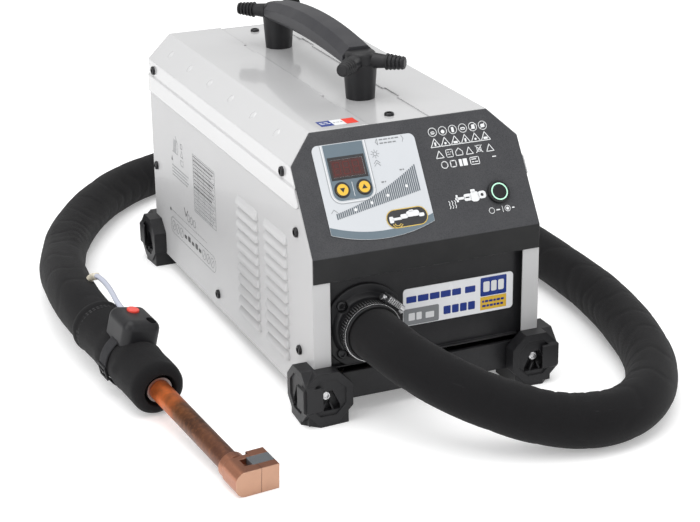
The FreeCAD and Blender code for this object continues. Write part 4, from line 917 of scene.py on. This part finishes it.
def sleeve_profile(size):
    """Front rim to rear hem of the torch sleeve as (distance back, radius) in metres."""
    r, long, lip = size.sleeve_diameter / 2, size.sleeve_length, 0.009
    inner = [(0.026, 0.0150), (0.020, 0.0152), (0.015, 0.0155), (0.011, 0.0158)]
    nose_turn = [(lip - lip * math.cos(a), r - lip + lip * math.sin(a))
                 for a in (math.radians(d) for d in (-6, 2, 10, 20, 36, 54, 72, 90))]
    body = [(0.009 + k * 0.003, r) for k in range(1, 44)]
    hem = [(long - 0.008, r + 0.0004), (long - 0.006, r + 0.0012), (long - 0.003, r + 0.0015),
           (long - 0.0005, r + 0.0012), (long + 0.0012, r + 0.0002), (long + 0.0016, r - 0.0009),
           (long - 0.004, r - 0.0013)]
    return inner + nose_turn + body + hem


class HEATER_OT_torch_sleeve(bpy.types.Operator):
    """Padded textile sleeve of the torch with its rear hem"""
    bl_idname = "heater.torch_sleeve"
    bl_label = "Torch sleeve"

    def execute(self, context):
        size = sizes()
        profile = sleeve_profile(size)
        sides = 72
        shell = bmesh.new()
        rings, run, runs = [], 0.0, []
        for k, (y, r) in enumerate(profile):
            if k:
                run += math.hypot(y - profile[k - 1][0], r - profile[k - 1][1])
            runs.append(run)
            squeeze = math.exp(-((y - 0.071) / 0.010) ** 2)
            outside = 1.0 if k > 6 else 0.0
            ring = []
            for j in range(sides):
                angle = 2 * math.pi * j / sides
                soft = noise.noise(Vector((y * 16.0, math.cos(angle) * 1.1, math.sin(angle) * 1.1 + 3.0)))
                pucker = noise.noise(Vector((y * 60.0, math.cos(angle) * 3.0, math.sin(angle) * 3.0)))
                near = math.exp(-((y - 0.052) / 0.008) ** 2) + math.exp(-((y - 0.089) / 0.008) ** 2)
                out = r + outside * (0.0007 * soft + 0.0004 * pucker - 0.0006 * squeeze
                                     + 0.0007 * near * (1 + pucker))
                point = Vector((out * math.cos(angle), y, out * math.sin(angle)))
                ring.append(shell.verts.new(TORCH @ point))
            rings.append(ring)
        skin_rings(shell, rings, math.pi * size.sleeve_diameter, runs)
        mesh = mesh_from("torch_sleeve_cloth", shell)
        on_floor(mesh)
        new_piece("torch_sleeve_cloth", mesh, [coat_with("fabric")],
                  replaces=("torch_sleeve",))
        self.seams(size)
        return {"FINISHED"}

    def seams(self, size):
        """Double row of stitches in front of the rear hem."""
        path, sides = bmesh.new(), 96
        r = size.sleeve_diameter / 2 + 0.0001
        for back in (0.0095, 0.0125):
            ring = []
            for j in range(sides):
                angle = 2 * math.pi * j / sides
                ring.append(path.verts.new(TORCH @ Vector((r * math.cos(angle), size.sleeve_length - back,
                                                           r * math.sin(angle)))))
            for j in range(sides):
                path.edges.new((ring[j], ring[(j + 1) % sides]))
        mesh = bpy.data.meshes.new("hem_path")
        path.to_mesh(mesh)
        path.free()
        grown("sleeve_hem_stitches", seam_tree, Matrix.Identity(4),
              {"Pitch": size.stitch_pitch, "Length": 0.0030, "Thickness": 0.00042,
               "Material": coat_with("thread")}, base=mesh, smooth=True)


class HEATER_OT_trigger_strap(bpy.types.Operator):
    """Webbing strap that holds the trigger on the torch, with its buckle"""
    bl_idname = "heater.trigger_strap"
    bl_label = "Trigger strap"

    def execute(self, context):
        inner, outer, low, high = 0.0264, 0.0279, 0.064, 0.078
        girth, weave_step = 0.175, 0.0012
        section = [(low, inner), (low, outer - 0.0005), (low + 0.0005, outer)]
        section += [(low + 0.0005 + k * 0.0013, outer) for k in range(1, 10)]
        section += [(high - 0.0005, outer), (high, outer - 0.0005), (high, inner)]
        band = bmesh.new()
        cloth_map = band.loops.layers.uv.new("cloth")
        sides, count = 96, len(section)
        rings = []
        for j in range(sides):
            angle = 2 * math.pi * j / sides
            wave = 0.00015 * noise.noise(Vector((math.cos(angle) * 4, math.sin(angle) * 4, 1.0)))
            places = [Vector(((r + wave) * math.cos(angle), y, (r + wave) * math.sin(angle)))
                      for y, r in section]
            rings.append([band.verts.new(TRIGGER @ place) for place in places])
        for j in range(sides):
            first, second = rings[j], rings[(j + 1) % sides]
            for k in range(count):
                after = (k + 1) % count
                face = band.faces.new((first[k], second[k], second[after], first[after]))
                for loop, u, v in zip(face.loops, (j, j + 1, j + 1, j), (k, k, k + 1, k + 1)):
                    loop[cloth_map].uv = (u * girth / sides, v * weave_step)
        new_piece("trigger_strap_webbing", mesh_from("trigger_strap_webbing", band),
                  [coat_with("webbing")], replaces=("trigger_strap",))
        self.buckle()
        return {"FINISHED"}

    def buckle(self):
        """Slim ladder buckle on the strap's outer side."""
        bars = bmesh.new()
        angle, thick = math.radians(205), 0.0018
        place = TRIGGER @ Matrix.Rotation(-angle, 4, "Y") @ Matrix.Translation((0.0282, 0.071, 0.0))
        for y0, y1, z0, z1 in ((-0.0085, 0.0085, -0.0075, -0.0055), (-0.0085, 0.0085, 0.0055, 0.0075),
                               (-0.0085, -0.0068, -0.0055, 0.0055), (0.0068, 0.0085, -0.0055, 0.0055),
                               (-0.0068, 0.0068, -0.0010, 0.0010)):
            for v in bmesh.ops.create_cube(bars, size=1.0)["verts"]:
                v.co = Vector((v.co.x * thick, (y0 + y1) / 2 + v.co.y * (y1 - y0),
                               (z0 + z1) / 2 + v.co.z * (z1 - z0)))
        bars.transform(place)
        piece = new_piece("trigger_strap_buckle", mesh_from("trigger_strap_buckle", bars),
                          [coat_with("plastic_black")], smooth=False)
        bevel = piece.modifiers.new("Soft corners", "BEVEL")
        bevel.width = 0.0005
        bevel.segments = 2


class HEATER_OT_trigger_lead(bpy.types.Operator):
    """Grey lead from the trigger housing into the sleeve, with its tape"""
    bl_idname = "heater.trigger_lead"
    bl_label = "Trigger lead"

    def execute(self, context):
        size = sizes()
        local = [(3, 98, 34.5), (3, 118, 34.5), (8, 150, 37.5), (14, 184, 34.5), (16, 210, 29.5)]
        route = [TRIGGER @ (Vector(point) * MM) for point in local]
        route.append(route[-1] + Vector((-6, 16, -16)) * MM)
        line, _ = evenly(spline_line("trigger_lead_route", route), 0.0015)
        mesh = tube_mesh("trigger_lead_jacket", line, size.lead_diameter / 2, 24)
        lead = new_piece("trigger_lead_jacket", mesh, [coat_with("lead")],
                         replaces=("trigger_lead",))

        def wraps(i, angle, way, bend):
            """Uneven turns of tape."""
            return 0.0005 * abs(math.sin(i * 0.9 + angle * 0.5)) + 0.0003 * math.sin(angle * 3 + i * 0.3)

        def taper(i, angle, way, bend):
            """Boot narrowing away from the housing."""
            return -0.00022 * i

        tape = tube_mesh("lead_tape", line[-22:-3], size.lead_diameter / 2 + 0.0007, 24, wraps)
        new_piece("lead_tape", tape, [coat_with("tape")])
        boot = tube_mesh("lead_boot", line[:7], size.lead_diameter / 2 + 0.0016, 24, taper)
        new_piece("lead_boot", boot, [coat_with("plastic_black")])
        return {"FINISHED"}


# ---------------------------------------------------------------- printed pieces
def dashes(x0, x1, y, height, seed, gap=0.8):
    """Line of small bars of uneven length, standing for a line of small print."""
    marks, x, k = [], x0, 0
    while x < x1 - 1.0:
        share = 0.5 + 0.5 * noise.noise(Vector((seed * 3.7, k * 1.93, 0.5)))
        wide = min(1.2 + 4.2 * share, x1 - x)
        marks.append(rounded(x, x + wide, y - height / 2, y + height / 2, height * 0.3, 2))
        x += wide + gap
        k += 1
    return marks


def film_edge(x):
    """Height of the keypad film's lower edge, a shallow arc through (-92, 20), (-52, 10.5) and (10.5, 19)."""
    left, middle, right = x + 92, x + 52, x - 10.5
    return 20 * middle * right / 4100 - 10.5 * left * right / 2500 + 19 * left * middle / 6406


def cup(radius):
    """Line round the sides and the foot of the display's field, at a distance from its corner centres."""
    left, right, top, foot = -73, -49.6, 103.4, 58
    return ([(left - radius, top), (left - radius, foot)] + arc(left, foot, radius, 180, 270, 6)
            + arc(right, foot, radius, 270, 360, 6) + [(right + radius, top)])


class HEATER_OT_keypad_print(bpy.types.Operator):
    """Marks printed on the keypad film, the display and the keys"""
    bl_idname = "heater.keypad_print"
    bl_label = "Keypad print"

    def execute(self, context):
        sheet = PrintSheet()
        across = [-91.8 + 102.1 * k / 32 for k in range(33)]
        for x0, x1 in zip(across, across[1:]):
            sheet.add("ink_blue", [(x0, film_edge(x0) + 0.3), (x1, film_edge(x1) + 0.3),
                                   (x1, film_edge(x1) + 7.4), (x0, film_edge(x0) + 7.4)])
        sheet.add("ink_blue", [rounded(-81, -41.6, 91.2, 103.4), rounded(-81, -79.3, 69.4, 91.2),
                               rounded(-43.2, -41.6, 69.4, 91.2)])
        sheet.add("ink_blue", [(-81, 69.4), (-81, 58)] + arc(-73, 58, 8, 180, 270, 6)[1:]
                  + arc(-49.6, 58, 8, 270, 360, 6) + [(-41.6, 69.4)])
        sheet.add("ink_white", stroke(cup(9.6), 0.7))
        sheet.add("ink_grey", stroke(cup(10.8), 0.4))
        for x0, x1, y0, y1 in ((-79.3, -43.2, 88.6, 91.2), (-79.3, -43.2, 69.4, 71.9),
                               (-79.3, -77.05, 71.9, 88.6), (-45.45, -43.2, 71.9, 88.6)):
            sheet.add("ink_black", rounded(x0, x1, y0, y1), 1)
        for x in KEY_X:
            sheet.add("ink_black", ring_mark(x, KEY_Y, 6.15, 7.7), 1)
        sheet.add("ink_white", rounded(-60.9, -60.5, 53.0, 66.5), 1)
        pill = rounded(-36.0, 4.5, 17.5, 34.5, 8.4, 8)
        sheet.add("ink_black", pill, 1)
        sheet.add("ink_gold", outline_of(pill, 0.8), 2)
        sheet.add("ink_white", [
            rounded(-16, -3, 26.0, 31.5, 2.4, 5), rounded(-22, -15, 25.2, 29.4, 1.2, 3),
            rounded(-30, -21, 24.6, 27.0, 0.8, 2), rounded(-33.4, -29.4, 22.6, 28.6, 1.0, 3),
            rounded(-4, 1.6, 24.8, 28.2, 1.4, 3), rounded(-13, -8.4, 30.6, 32.4, 0.8, 2)], 3)
        for r in (3.2, 5.0):
            sheet.add("ink_gold", stroke(arc(-26, 22.6, r, 200, 330, 8), 0.8), 3)
        for k in range(8):
            a = 2 * math.pi * k / 8
            sheet.add("ink_grey", stroke([(-32 + 2.6 * math.cos(a), 89 + 2.6 * math.sin(a)),
                                          (-32 + 4.2 * math.cos(a), 89 + 4.2 * math.sin(a))], 0.45))
        sheet.add("ink_grey", outline_of(round_mark(-32, 89, 1.8, 16), 0.45))
        sheet.add("ink_grey", stroke([(-35, 80), (-32, 83), (-29, 80)], 0.5))
        sheet.add("ink_grey", stroke([(-35, 77.5), (-32, 80.5), (-29, 77.5)], 0.5))
        sheet.add("ink_grey", stroke([(-29, 100), (-27, 103), (-27, 97), (-29, 100)], 0.5))
        sheet.add("ink_grey", dashes(-25, -4, 101.6, 1.2, 3) + dashes(-25, -8, 98.2, 1.2, 4))
        sheet.add("ink_grey", stroke([(-2.5, 97), (-1, 100), (-2.5, 103)], 0.5))
        for t in (0.22, 0.42, 0.62, 0.86):
            x, y = -82 + 85 * t, 36.4 + 15.5 * t + 7.0 * t ** 1.9
            sheet.add("ink_white", round_mark(x, y, 1.5, 16), 3)
            sheet.add("ink_grey", dashes(x - 3, x + 1.5, y + 10.0 + 8.0 * t * t, 1.3, 17 * t), 1)
        sheet.add("ink_grey", stroke([(-87, 40), (-84, 43), (-81, 40)], 0.5))
        sheet.piece("keypad_print", BEZEL, floor=FILM_FACE)

        grown("keypad_bar_graph", row_tree, BEZEL,
              {"Count": 44, "First": Vector((-82, 33.5, 0.50)) * MM, "Pitch": Vector((1.98, 0.36, 0)) * MM,
               "Bar": Vector((1.25, 5.5, 0.10)) * MM, "Growth": 0.0028, "Power": 1.9,
               "Material": coat_with("ink_slate")})

        digits = PrintSheet()
        wide, foot, tall, gap = 5.8, 74.6, 11.4, 0.8
        for k in range(3):
            left = -74.6 + k * 9.4
            for y in (foot, foot + tall, foot + tall / 2):
                digits.add("segment", stroke([(left, y), (left + wide, y)], 1.1))
            for low in (foot, foot + tall / 2):
                for x in (left, left + wide):
                    digits.add("segment", stroke([(x, low + gap), (x, low + tall / 2 - gap)], 1.1))
        digits.piece("display_segments", BEZEL, floor=WINDOW_FACE, slot="window")

        for body, x, sign in zip(("down_key", "up_key"), KEY_X, (-1, 1)):
            arrow = PrintSheet()
            foot, tip = KEY_Y - sign * 1.6, KEY_Y + sign * 2.6
            arrow.add("ink_black", [(x - 2.6, foot), (x + 2.6, foot), (x, tip)][::sign])
            arrow.add("ink_black", ring_mark(x, KEY_Y, 5.5, 6.35))
            arrow.piece(body + "_arrow", BEZEL, body=body, floor=KEY_FACE, slot="yellow")
        return {"FINISHED"}


class HEATER_OT_bezel_print(bpy.types.Operator):
    """Plain white symbols on the right half of the bezel and by the power button"""
    bl_idname = "heater.bezel_print"
    bl_label = "Bezel print"

    def execute(self, context):
        sheet = PrintSheet()
        ink = "ink_white"
        for k in range(6):
            x = 30.8 + 10.4 * k
            sheet.add(ink, outline_of(round_mark(x, 100.7, 4.1, 28), 0.75))
            sheet.add(ink, [
                rounded(x - 1.9, x + 1.9, 98.6, 101.4, 0.9, 3), round_mark(x, 100.0, 1.9, 12),
                rounded(x - 1.3, x + 1.3, 98.0, 103.2, 0.9, 3),
                rounded(x - 2.3, x + 2.3, 99.0, 101.6, 1.0, 3),
                rounded(x - 1.2, x + 2.2, 98.4, 102.8, 0.9, 3),
                rounded(x - 2.1, x + 2.1, 98.8, 102.2, 1.2, 3)][k])
            if k in (4, 5):
                sheet.add(ink, stroke([(x - 2.9, 97.9), (x + 2.9, 103.5)], 0.6), 1)
            if k in (0, 3):
                sheet.add("ink_black", rounded(x - 1.3, x + 1.3, 99.7, 100.6), 1)
        for k in range(6):
            x = 30.8 + 10.4 * k
            corners = [(x - 4.8, 86.2), (x + 4.8, 86.2), (x, 94.4)]
            sheet.add(ink, outline_of(corners, 0.75))
            sheet.add(ink, [rounded(x - 0.9, x + 0.9, 87.2, 90.8, 0.6, 3), round_mark(x, 88.6, 1.2, 10),
                            rounded(x - 2.2, x + 2.2, 87.2, 89.4, 0.7, 3)][k % 3])
        sheet.add(ink, outline_of([(28.6, 75.2), (36.4, 75.2), (32.5, 82.2)], 0.75))
        sheet.add(ink, outline_of(rounded(39.4, 46.0, 75.0, 82.2, 0.8, 2), 0.7))
        sheet.add(ink, dashes(40.6, 45.0, 79.8, 0.6, 5) + dashes(40.6, 45.0, 77.6, 0.6, 6))
        house = [(49.0, 75.4), (56.0, 75.4), (56.0, 79.0), (52.5, 82.4), (49.0, 79.0)]
        sheet.add(ink, outline_of(house, 0.7))
        sheet.add(ink, outline_of([(59.4, 75.2), (66.6, 75.2), (63.0, 82.0)], 0.75))
        sheet.add(ink, stroke([(70.0, 75.4), (76.6, 82.2)], 0.8) + stroke([(70.0, 82.2), (76.6, 75.4)], 0.8)
                  + outline_of(rounded(71.2, 75.4, 76.4, 82.2, 0.4, 2), 0.6))
        sheet.add(ink, outline_of([(80.6, 75.2), (88.2, 75.2), (84.4, 82.0)], 0.75))
        sheet.add(ink, outline_of(round_mark(35.0, 68.2, 3.2, 20), 1.0))
        sheet.add(ink, outline_of(rounded(41.2, 46.8, 65.2, 71.2, 1.2, 3), 1.0))
        sheet.add(ink, [rounded(50.0, 53.0, 64.8, 71.6, 0.3, 2), rounded(54.0, 58.4, 64.8, 71.6, 0.3, 2)])
        sheet.add(ink, outline_of(rounded(61.6, 70.6, 64.8, 71.6, 0.6, 2), 0.8))
        sheet.add(ink, dashes(63.0, 69.4, 69.8, 1.0, 8) + dashes(63.0, 69.4, 67.2, 1.0, 9))
        sheet.add(ink, rounded(84.6, 88.8, 69.0, 70.0, 0.3, 2))

        for x0, x1, y0, y1, r in ((37.0, 47.0, 33.4, 35.8, 0.6), (46.0, 53.4, 31.4, 38.0, 1.6),
                                  (52.6, 61.6, 29.6, 39.4, 3.4), (60.6, 68.8, 31.6, 38.8, 2.6)):
            sheet.add(ink, rounded(x0, x1, y0, y1, r, 4))
        sheet.add(ink, rounded(53.8, 58.6, 38.6, 41.6, 1.0, 3))
        sheet.add("ink_black", [rounded(47.6, 51.6, 34.0, 35.2, 0.4, 2), round_mark(64.8, 35.2, 1.5, 12)], 1)
        for k in range(3):
            x = 29.9 + 2.9 * k
            sheet.add(ink, stroke([(x, 26.4), (x + 1.0, 28.2), (x, 30.0), (x + 1.0, 31.8), (x, 33.6)], 0.7))
        sheet.add(ink, rounded(38.0, 40.0, 31.4, 38.4, 0.5, 2))
        sheet.add(ink, outline_of(round_mark(70.6, 18.6, 2.7, 20), 0.7))
        sheet.add(ink, dashes(75.2, 79.2, 18.6, 1.2, 12))
        sheet.add(ink, rounded(81.6, 82.1, 15.6, 21.6))
        sheet.add(ink, outline_of(round_mark(87.0, 18.6, 2.7, 20), 0.7))
        sheet.add(ink, round_mark(87.0, 18.6, 1.5, 14))
        sheet.add(ink, dashes(91.6, 95.6, 18.6, 1.2, 13))
        shifted = BEZEL @ Matrix.Translation((-0.0012, 0.0010, 0))
        sheet.piece("bezel_symbols", shifted, slot="bezel_grey")
        return {"FINISHED"}


class HEATER_OT_front_label(bpy.types.Operator):
    """Plain bars and fields on the front label and the small sticker on the cover"""
    bl_idname = "heater.front_label"
    bl_label = "Front label"

    def execute(self, context):
        sheet = PrintSheet()
        for x0, x1 in ((-18.7, -8.4), (-7.0, 4.0), (5.4, 15.4), (16.6, 27.0), (28.4, 37.6), (41.8, 52.6)):
            sheet.add("label_blue", rounded(x0, x1, 97.8, 104.2, 0.8, 3))
        for x0, x1 in ((19.6, 27.0), (28.4, 35.4), (36.8, 43.8), (45.2, 52.4)):
            sheet.add("label_blue", rounded(x0, x1, 80.4, 88.6, 0.9, 3))
        sheet.add("ink_grey", rounded(-21.6, 14.8, 75.6, 92.0, 1.6, 3))
        sheet.add("ink_white", [rounded(-16.4, -10.0, 80.0, 87.4, 0.7, 3),
                                rounded(-8.4, -3.0, 80.0, 87.4, 0.7, 3),
                                rounded(1.0, 9.8, 80.0, 86.0, 0.7, 3)], 1)
        sheet.add("label_blue", rounded(58.0, 85.5, 91.4, 110.2, 1.2, 3))
        sheet.add("ink_white", [rounded(x0, x1, 95.6, 106.0, 1.4, 4)
                                for x0, x1 in ((61.0, 67.6), (69.2, 75.0), (76.6, 82.6))], 1)
        sheet.add("yellow", rounded(58.0, 85.5, 77.6, 90.6))
        sheet.add("label_blue", dashes(60.0, 83.5, 86.0, 2.2, 41) + dashes(60.0, 83.5, 81.4, 2.2, 42), 1)
        sheet.piece("front_label_print", FRONT, floor=LABEL_FACE)

        sticker = PrintSheet()
        for field, x0, x1 in (("label_blue", -73, -60), ("ink_white", -60, -48), ("red", -48, -36)):
            sticker.add(field, rounded(x0, x1, -160, -144))
        for y, seed in ((-149.0, 21), (-153.0, 22)):
            sticker.add("ink_white", dashes(-71.4, -61.2, y, 1.4, seed), 1)
        sticker.add("ink_grey", dashes(-58.8, -49.2, -152.0, 1.4, 23), 1)
        sticker.piece("cover_sticker", TOP, floor=COVER_FACE)
        return {"FINISHED"}


class HEATER_OT_side_print(bpy.types.Operator):
    """Table of small print and plain symbols on the left side panel"""
    bl_idname = "heater.side_print"
    bl_label = "Side print"

    def execute(self, context):
        sheet = PrintSheet()
        x0, x1, z0, z1 = -95.0, -27.0, 100.0, 163.0
        sheet.add("ink_grey", outline_of([(x0, z0), (x1, z0), (x1, z1), (x0, z1)], 0.5))
        rows = 15
        for k in range(1, rows):
            z = z1 - (z1 - z0) * k / rows
            sheet.add("ink_grey", rounded(x0, x1, z - 0.12, z + 0.12))
        for k, x in enumerate((-80.0, -62.0, -44.0)):
            sheet.add("ink_grey", rounded(x - 0.12, x + 0.12, z0, z1 - (z1 - z0) * 3 / rows))
        for k in range(rows):
            z = z1 - (z1 - z0) * (k + 0.5) / rows
            heavy = 1.9 if k in (1, 4, 8) else 1.1
            ink = "ink_black" if k < 9 else "ink_grey"
            sheet.add(ink, dashes(x0 + 1.5, x1 - 1.5 - 4 * (k % 3), z, heavy, k + 30))
        for k in range(4):
            sheet.add("ink_grey", dashes(-166, -112 - 4 * (k % 2), 131.0 - 3.6 * k, 1.2, k + 60))
        sheet.add("ink_black", [[(-168, 136), (-163, 136), (-165.5, 141)]])
        for k in range(5):
            sheet.add("ink_grey", stroke([(-160 + 2.2 * k, 147), (-157 + 2.2 * k, 162)], 0.5))
        sheet.add("ink_grey", stroke([(-163, 147), (-146, 147), (-143, 158), (-152, 166)], 0.6))
        sheet.add("ink_grey", outline_of(round_mark(-132, 160, 3.0, 16), 0.6))
        sheet.add("ink_grey", outline_of([(-136, 148), (-128, 148), (-132, 155)], 0.6))
        sheet.add("ink_grey", outline_of(rounded(-136, -128, 138, 144, 1, 2), 0.6))
        sheet.add("ink_grey", outline_of(rounded(-180, -33, 50.0, 68.0, 8, 6), 0.55))
        for x in (-170, -157, -144, -70, -57, -44):
            sheet.add("ink_grey", outline_of(round_mark(x, 59, 5.2, 20), 0.6))
            sheet.add("ink_grey", stroke([(x - 3, 56), (x + 3, 62)], 0.6))
        for k, x in enumerate((-130, -118, -106, -94, -83)):
            sheet.add("ink_black", rounded(x - 4, x + 4, 57, 61 + (k % 2) * 2, 1.4, 3))
        sheet.add("ink_black", [rounded(-181, -177, 74, 77.5, 1.0, 2)])
        sheet.add("ink_grey", stroke([(-175, 76), (-60, 76)], 0.4))
        sheet.add("ink_black", stroke([(-131, 92), (-126, 84), (-119, 92)], 1.1))
        for x in (-118, -108, -98):
            sheet.add("ink_grey", outline_of(round_mark(x, 84, 4.0, 16), 0.7))
        sheet.piece("side_panel_print", LEFT, floor=SIDE_FACE, slot="case_white")
        return {"FINISHED"}


class HEATER_OT_clamp_slots(bpy.types.Operator):
    """Thread slots and rim of the hose clamp's band, and the ribs of its worm housing"""
    bl_idname = "heater.clamp_slots"
    bl_label = "Clamp slots"

    def execute(self, context):
        low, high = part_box("hose_clamp_band")

        def at_hose(y, angle, axis):
            """Place on the hose's axis at a depth, turned about an axis."""
            middle = Vector((OUTLET_X * MM, y, OUTLET_Z * MM))
            return Matrix.Translation(middle) @ Matrix.Rotation(math.radians(angle), 4, axis)

        steel = coat_with("steel")
        grown("clamp_band_slots", hoop_tree, at_hose((low[1] + high[1]) / 2, 90, "X"),
              {"Count": 66, "Radius": 0.0281, "Bar": Vector((0.5, 1.1, 6.4)) * MM, "Material": steel})
        grown("clamp_band_rim", hoop_tree, at_hose(low[1] + 0.0004, 90, "X"),
              {"Count": 120, "Radius": 0.0277, "Bar": Vector((0.7, 1.55, 0.9)) * MM, "Material": steel})
        grown("clamp_worm_ribs", row_tree, at_hose(low[1], 40, "Y"),
              {"Count": 7, "First": Vector((-6.6, -0.6, 33.6)) * MM, "Pitch": Vector((2.2, 0, 0)) * MM,
               "Bar": Vector((1.3, 13.2, 5.4)) * MM, "Growth": 0.0, "Power": 1.0, "Material": steel})
        return {"FINISHED"}


# ---------------------------------------------------------------- finishes on the frame, and the stage
class HEATER_OT_case_finish(bpy.types.Operator):
    """Gives every piece of the CAD frame its finish"""
    bl_idname = "heater.case_finish"
    bl_label = "Case finish"

    def execute(self, context):
        missed = set(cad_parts) - set(SOFT_NODES)
        for name, nodes in NODE_FINISH.items():
            for node in nodes:
                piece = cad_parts[node]
                missed.discard(node)
                if not piece.material_slots:
                    piece.data.materials.append(None)
                for place in piece.material_slots:
                    place.material = coat_with(name)
        if missed:
            raise RuntimeError("no finish for " + ", ".join(sorted(missed)))
        return {"FINISHED"}


class HEATER_OT_stage(bpy.types.Operator):
    """Plain floor, soft lights and the camera"""
    bl_idname = "heater.stage"
    bl_label = "Stage"

    def execute(self, context):
        scene = context.scene
        settings = scene.heater_stage
        shape = bmesh.new()
        bmesh.ops.create_grid(shape, x_segments=1, y_segments=1, size=6.0)
        mesh = bpy.data.meshes.new("floor")
        shape.to_mesh(mesh)
        shape.free()
        floor = bpy.data.objects.new("floor", mesh)
        scene.collection.objects.link(floor)
        made, tree, shader = blank("Pale Floor")
        cloud = speck(tree, place_of(tree), 3.0, 2.0)
        tint = mixed(tree, cloud, toned(settings.floor_white, 0.985), settings.floor_white)
        feed(tree, shader, Base_Color=tint, Roughness=0.75, Specular_IOR_Level=0.2,
             Emission_Color=tint, Emission_Strength=0.30)
        mesh.materials.append(made)

        back = Vector(settings.camera_aim).normalized() * -1
        side = Vector(settings.camera_up).cross(back).normalized()
        up = back.cross(side)
        data = bpy.data.cameras.new("camera")
        data.sensor_width = 36.0
        data.lens = settings.lens
        data.clip_start = 0.05
        camera = bpy.data.objects.new("camera", data)
        turn = Matrix((side, up, back)).transposed().to_4x4()
        camera.matrix_world = Matrix.Translation(Vector(settings.camera_place)) @ turn
        scene.collection.objects.link(camera)
        scene.camera = camera

        for name, place, target, power, wide in LAMPS:
            lamp = bpy.data.lights.new(name, "AREA")
            lamp.energy = power * settings.light
            lamp.size = wide
            light = bpy.data.objects.new(name, lamp)
            light.location = place
            aim = Vector(place) - Vector(target)
            light.rotation_euler = aim.to_track_quat("Z", "Y").to_euler()
            scene.collection.objects.link(light)

        world = bpy.data.worlds.new("studio")
        world.use_nodes = True
        background = world.node_tree.nodes["Background"].inputs
        background["Color"].default_value = (1.0, 1.0, 1.0, 1.0)
        background["Strength"].default_value = STUDIO_LIGHT * settings.light
        scene.world = world
        scene.view_settings.view_transform = "Standard"
        return {"FINISHED"}


STEPS = (HEATER_OT_case_finish, HEATER_OT_umbilical, HEATER_OT_torch_sleeve, HEATER_OT_trigger_strap,
         HEATER_OT_trigger_lead, HEATER_OT_keypad_print, HEATER_OT_bezel_print, HEATER_OT_front_label,
         HEATER_OT_side_print, HEATER_OT_clamp_slots, HEATER_OT_stage)


class HEATER_PT_sidebar(bpy.types.Panel):
    """Lists the heater's settings and pieces"""
    bl_idname = "HEATER_PT_sidebar"
    bl_label = "Induction Heater"
    bl_space_type = "VIEW_3D"
    bl_region_type = "UI"
    bl_category = "Heater"

    def draw(self, context):
        layout = self.layout
        for step in STEPS:
            layout.operator(step.bl_idname)
        for group in (context.scene.heater_colours, context.scene.heater_sizes, context.scene.heater_stage):
            box = layout.box()
            for name in group.bl_rna.properties.keys():
                if name not in ("rna_type", "name"):
                    box.prop(group, name)


CLASSES = (HeaterColours, HeaterSizes, HeaterStage) + STEPS + (HEATER_PT_sidebar,)


def register():
    for cls in CLASSES:
        bpy.utils.register_class(cls)
    bpy.types.Scene.heater_colours = PointerProperty(type=HeaterColours)
    bpy.types.Scene.heater_sizes = PointerProperty(type=HeaterSizes)
    bpy.types.Scene.heater_stage = PointerProperty(type=HeaterStage)


def unregister():
    del bpy.types.Scene.heater_stage
    del bpy.types.Scene.heater_sizes
    del bpy.types.Scene.heater_colours
    for cls in reversed(CLASSES):
        bpy.utils.unregister_class(cls)


def main():
    register()
    for step in STEPS:
        family, name = step.bl_idname.split(".")
        getattr(getattr(bpy.ops, family), name)()


if __name__ == "__main__":
    main()
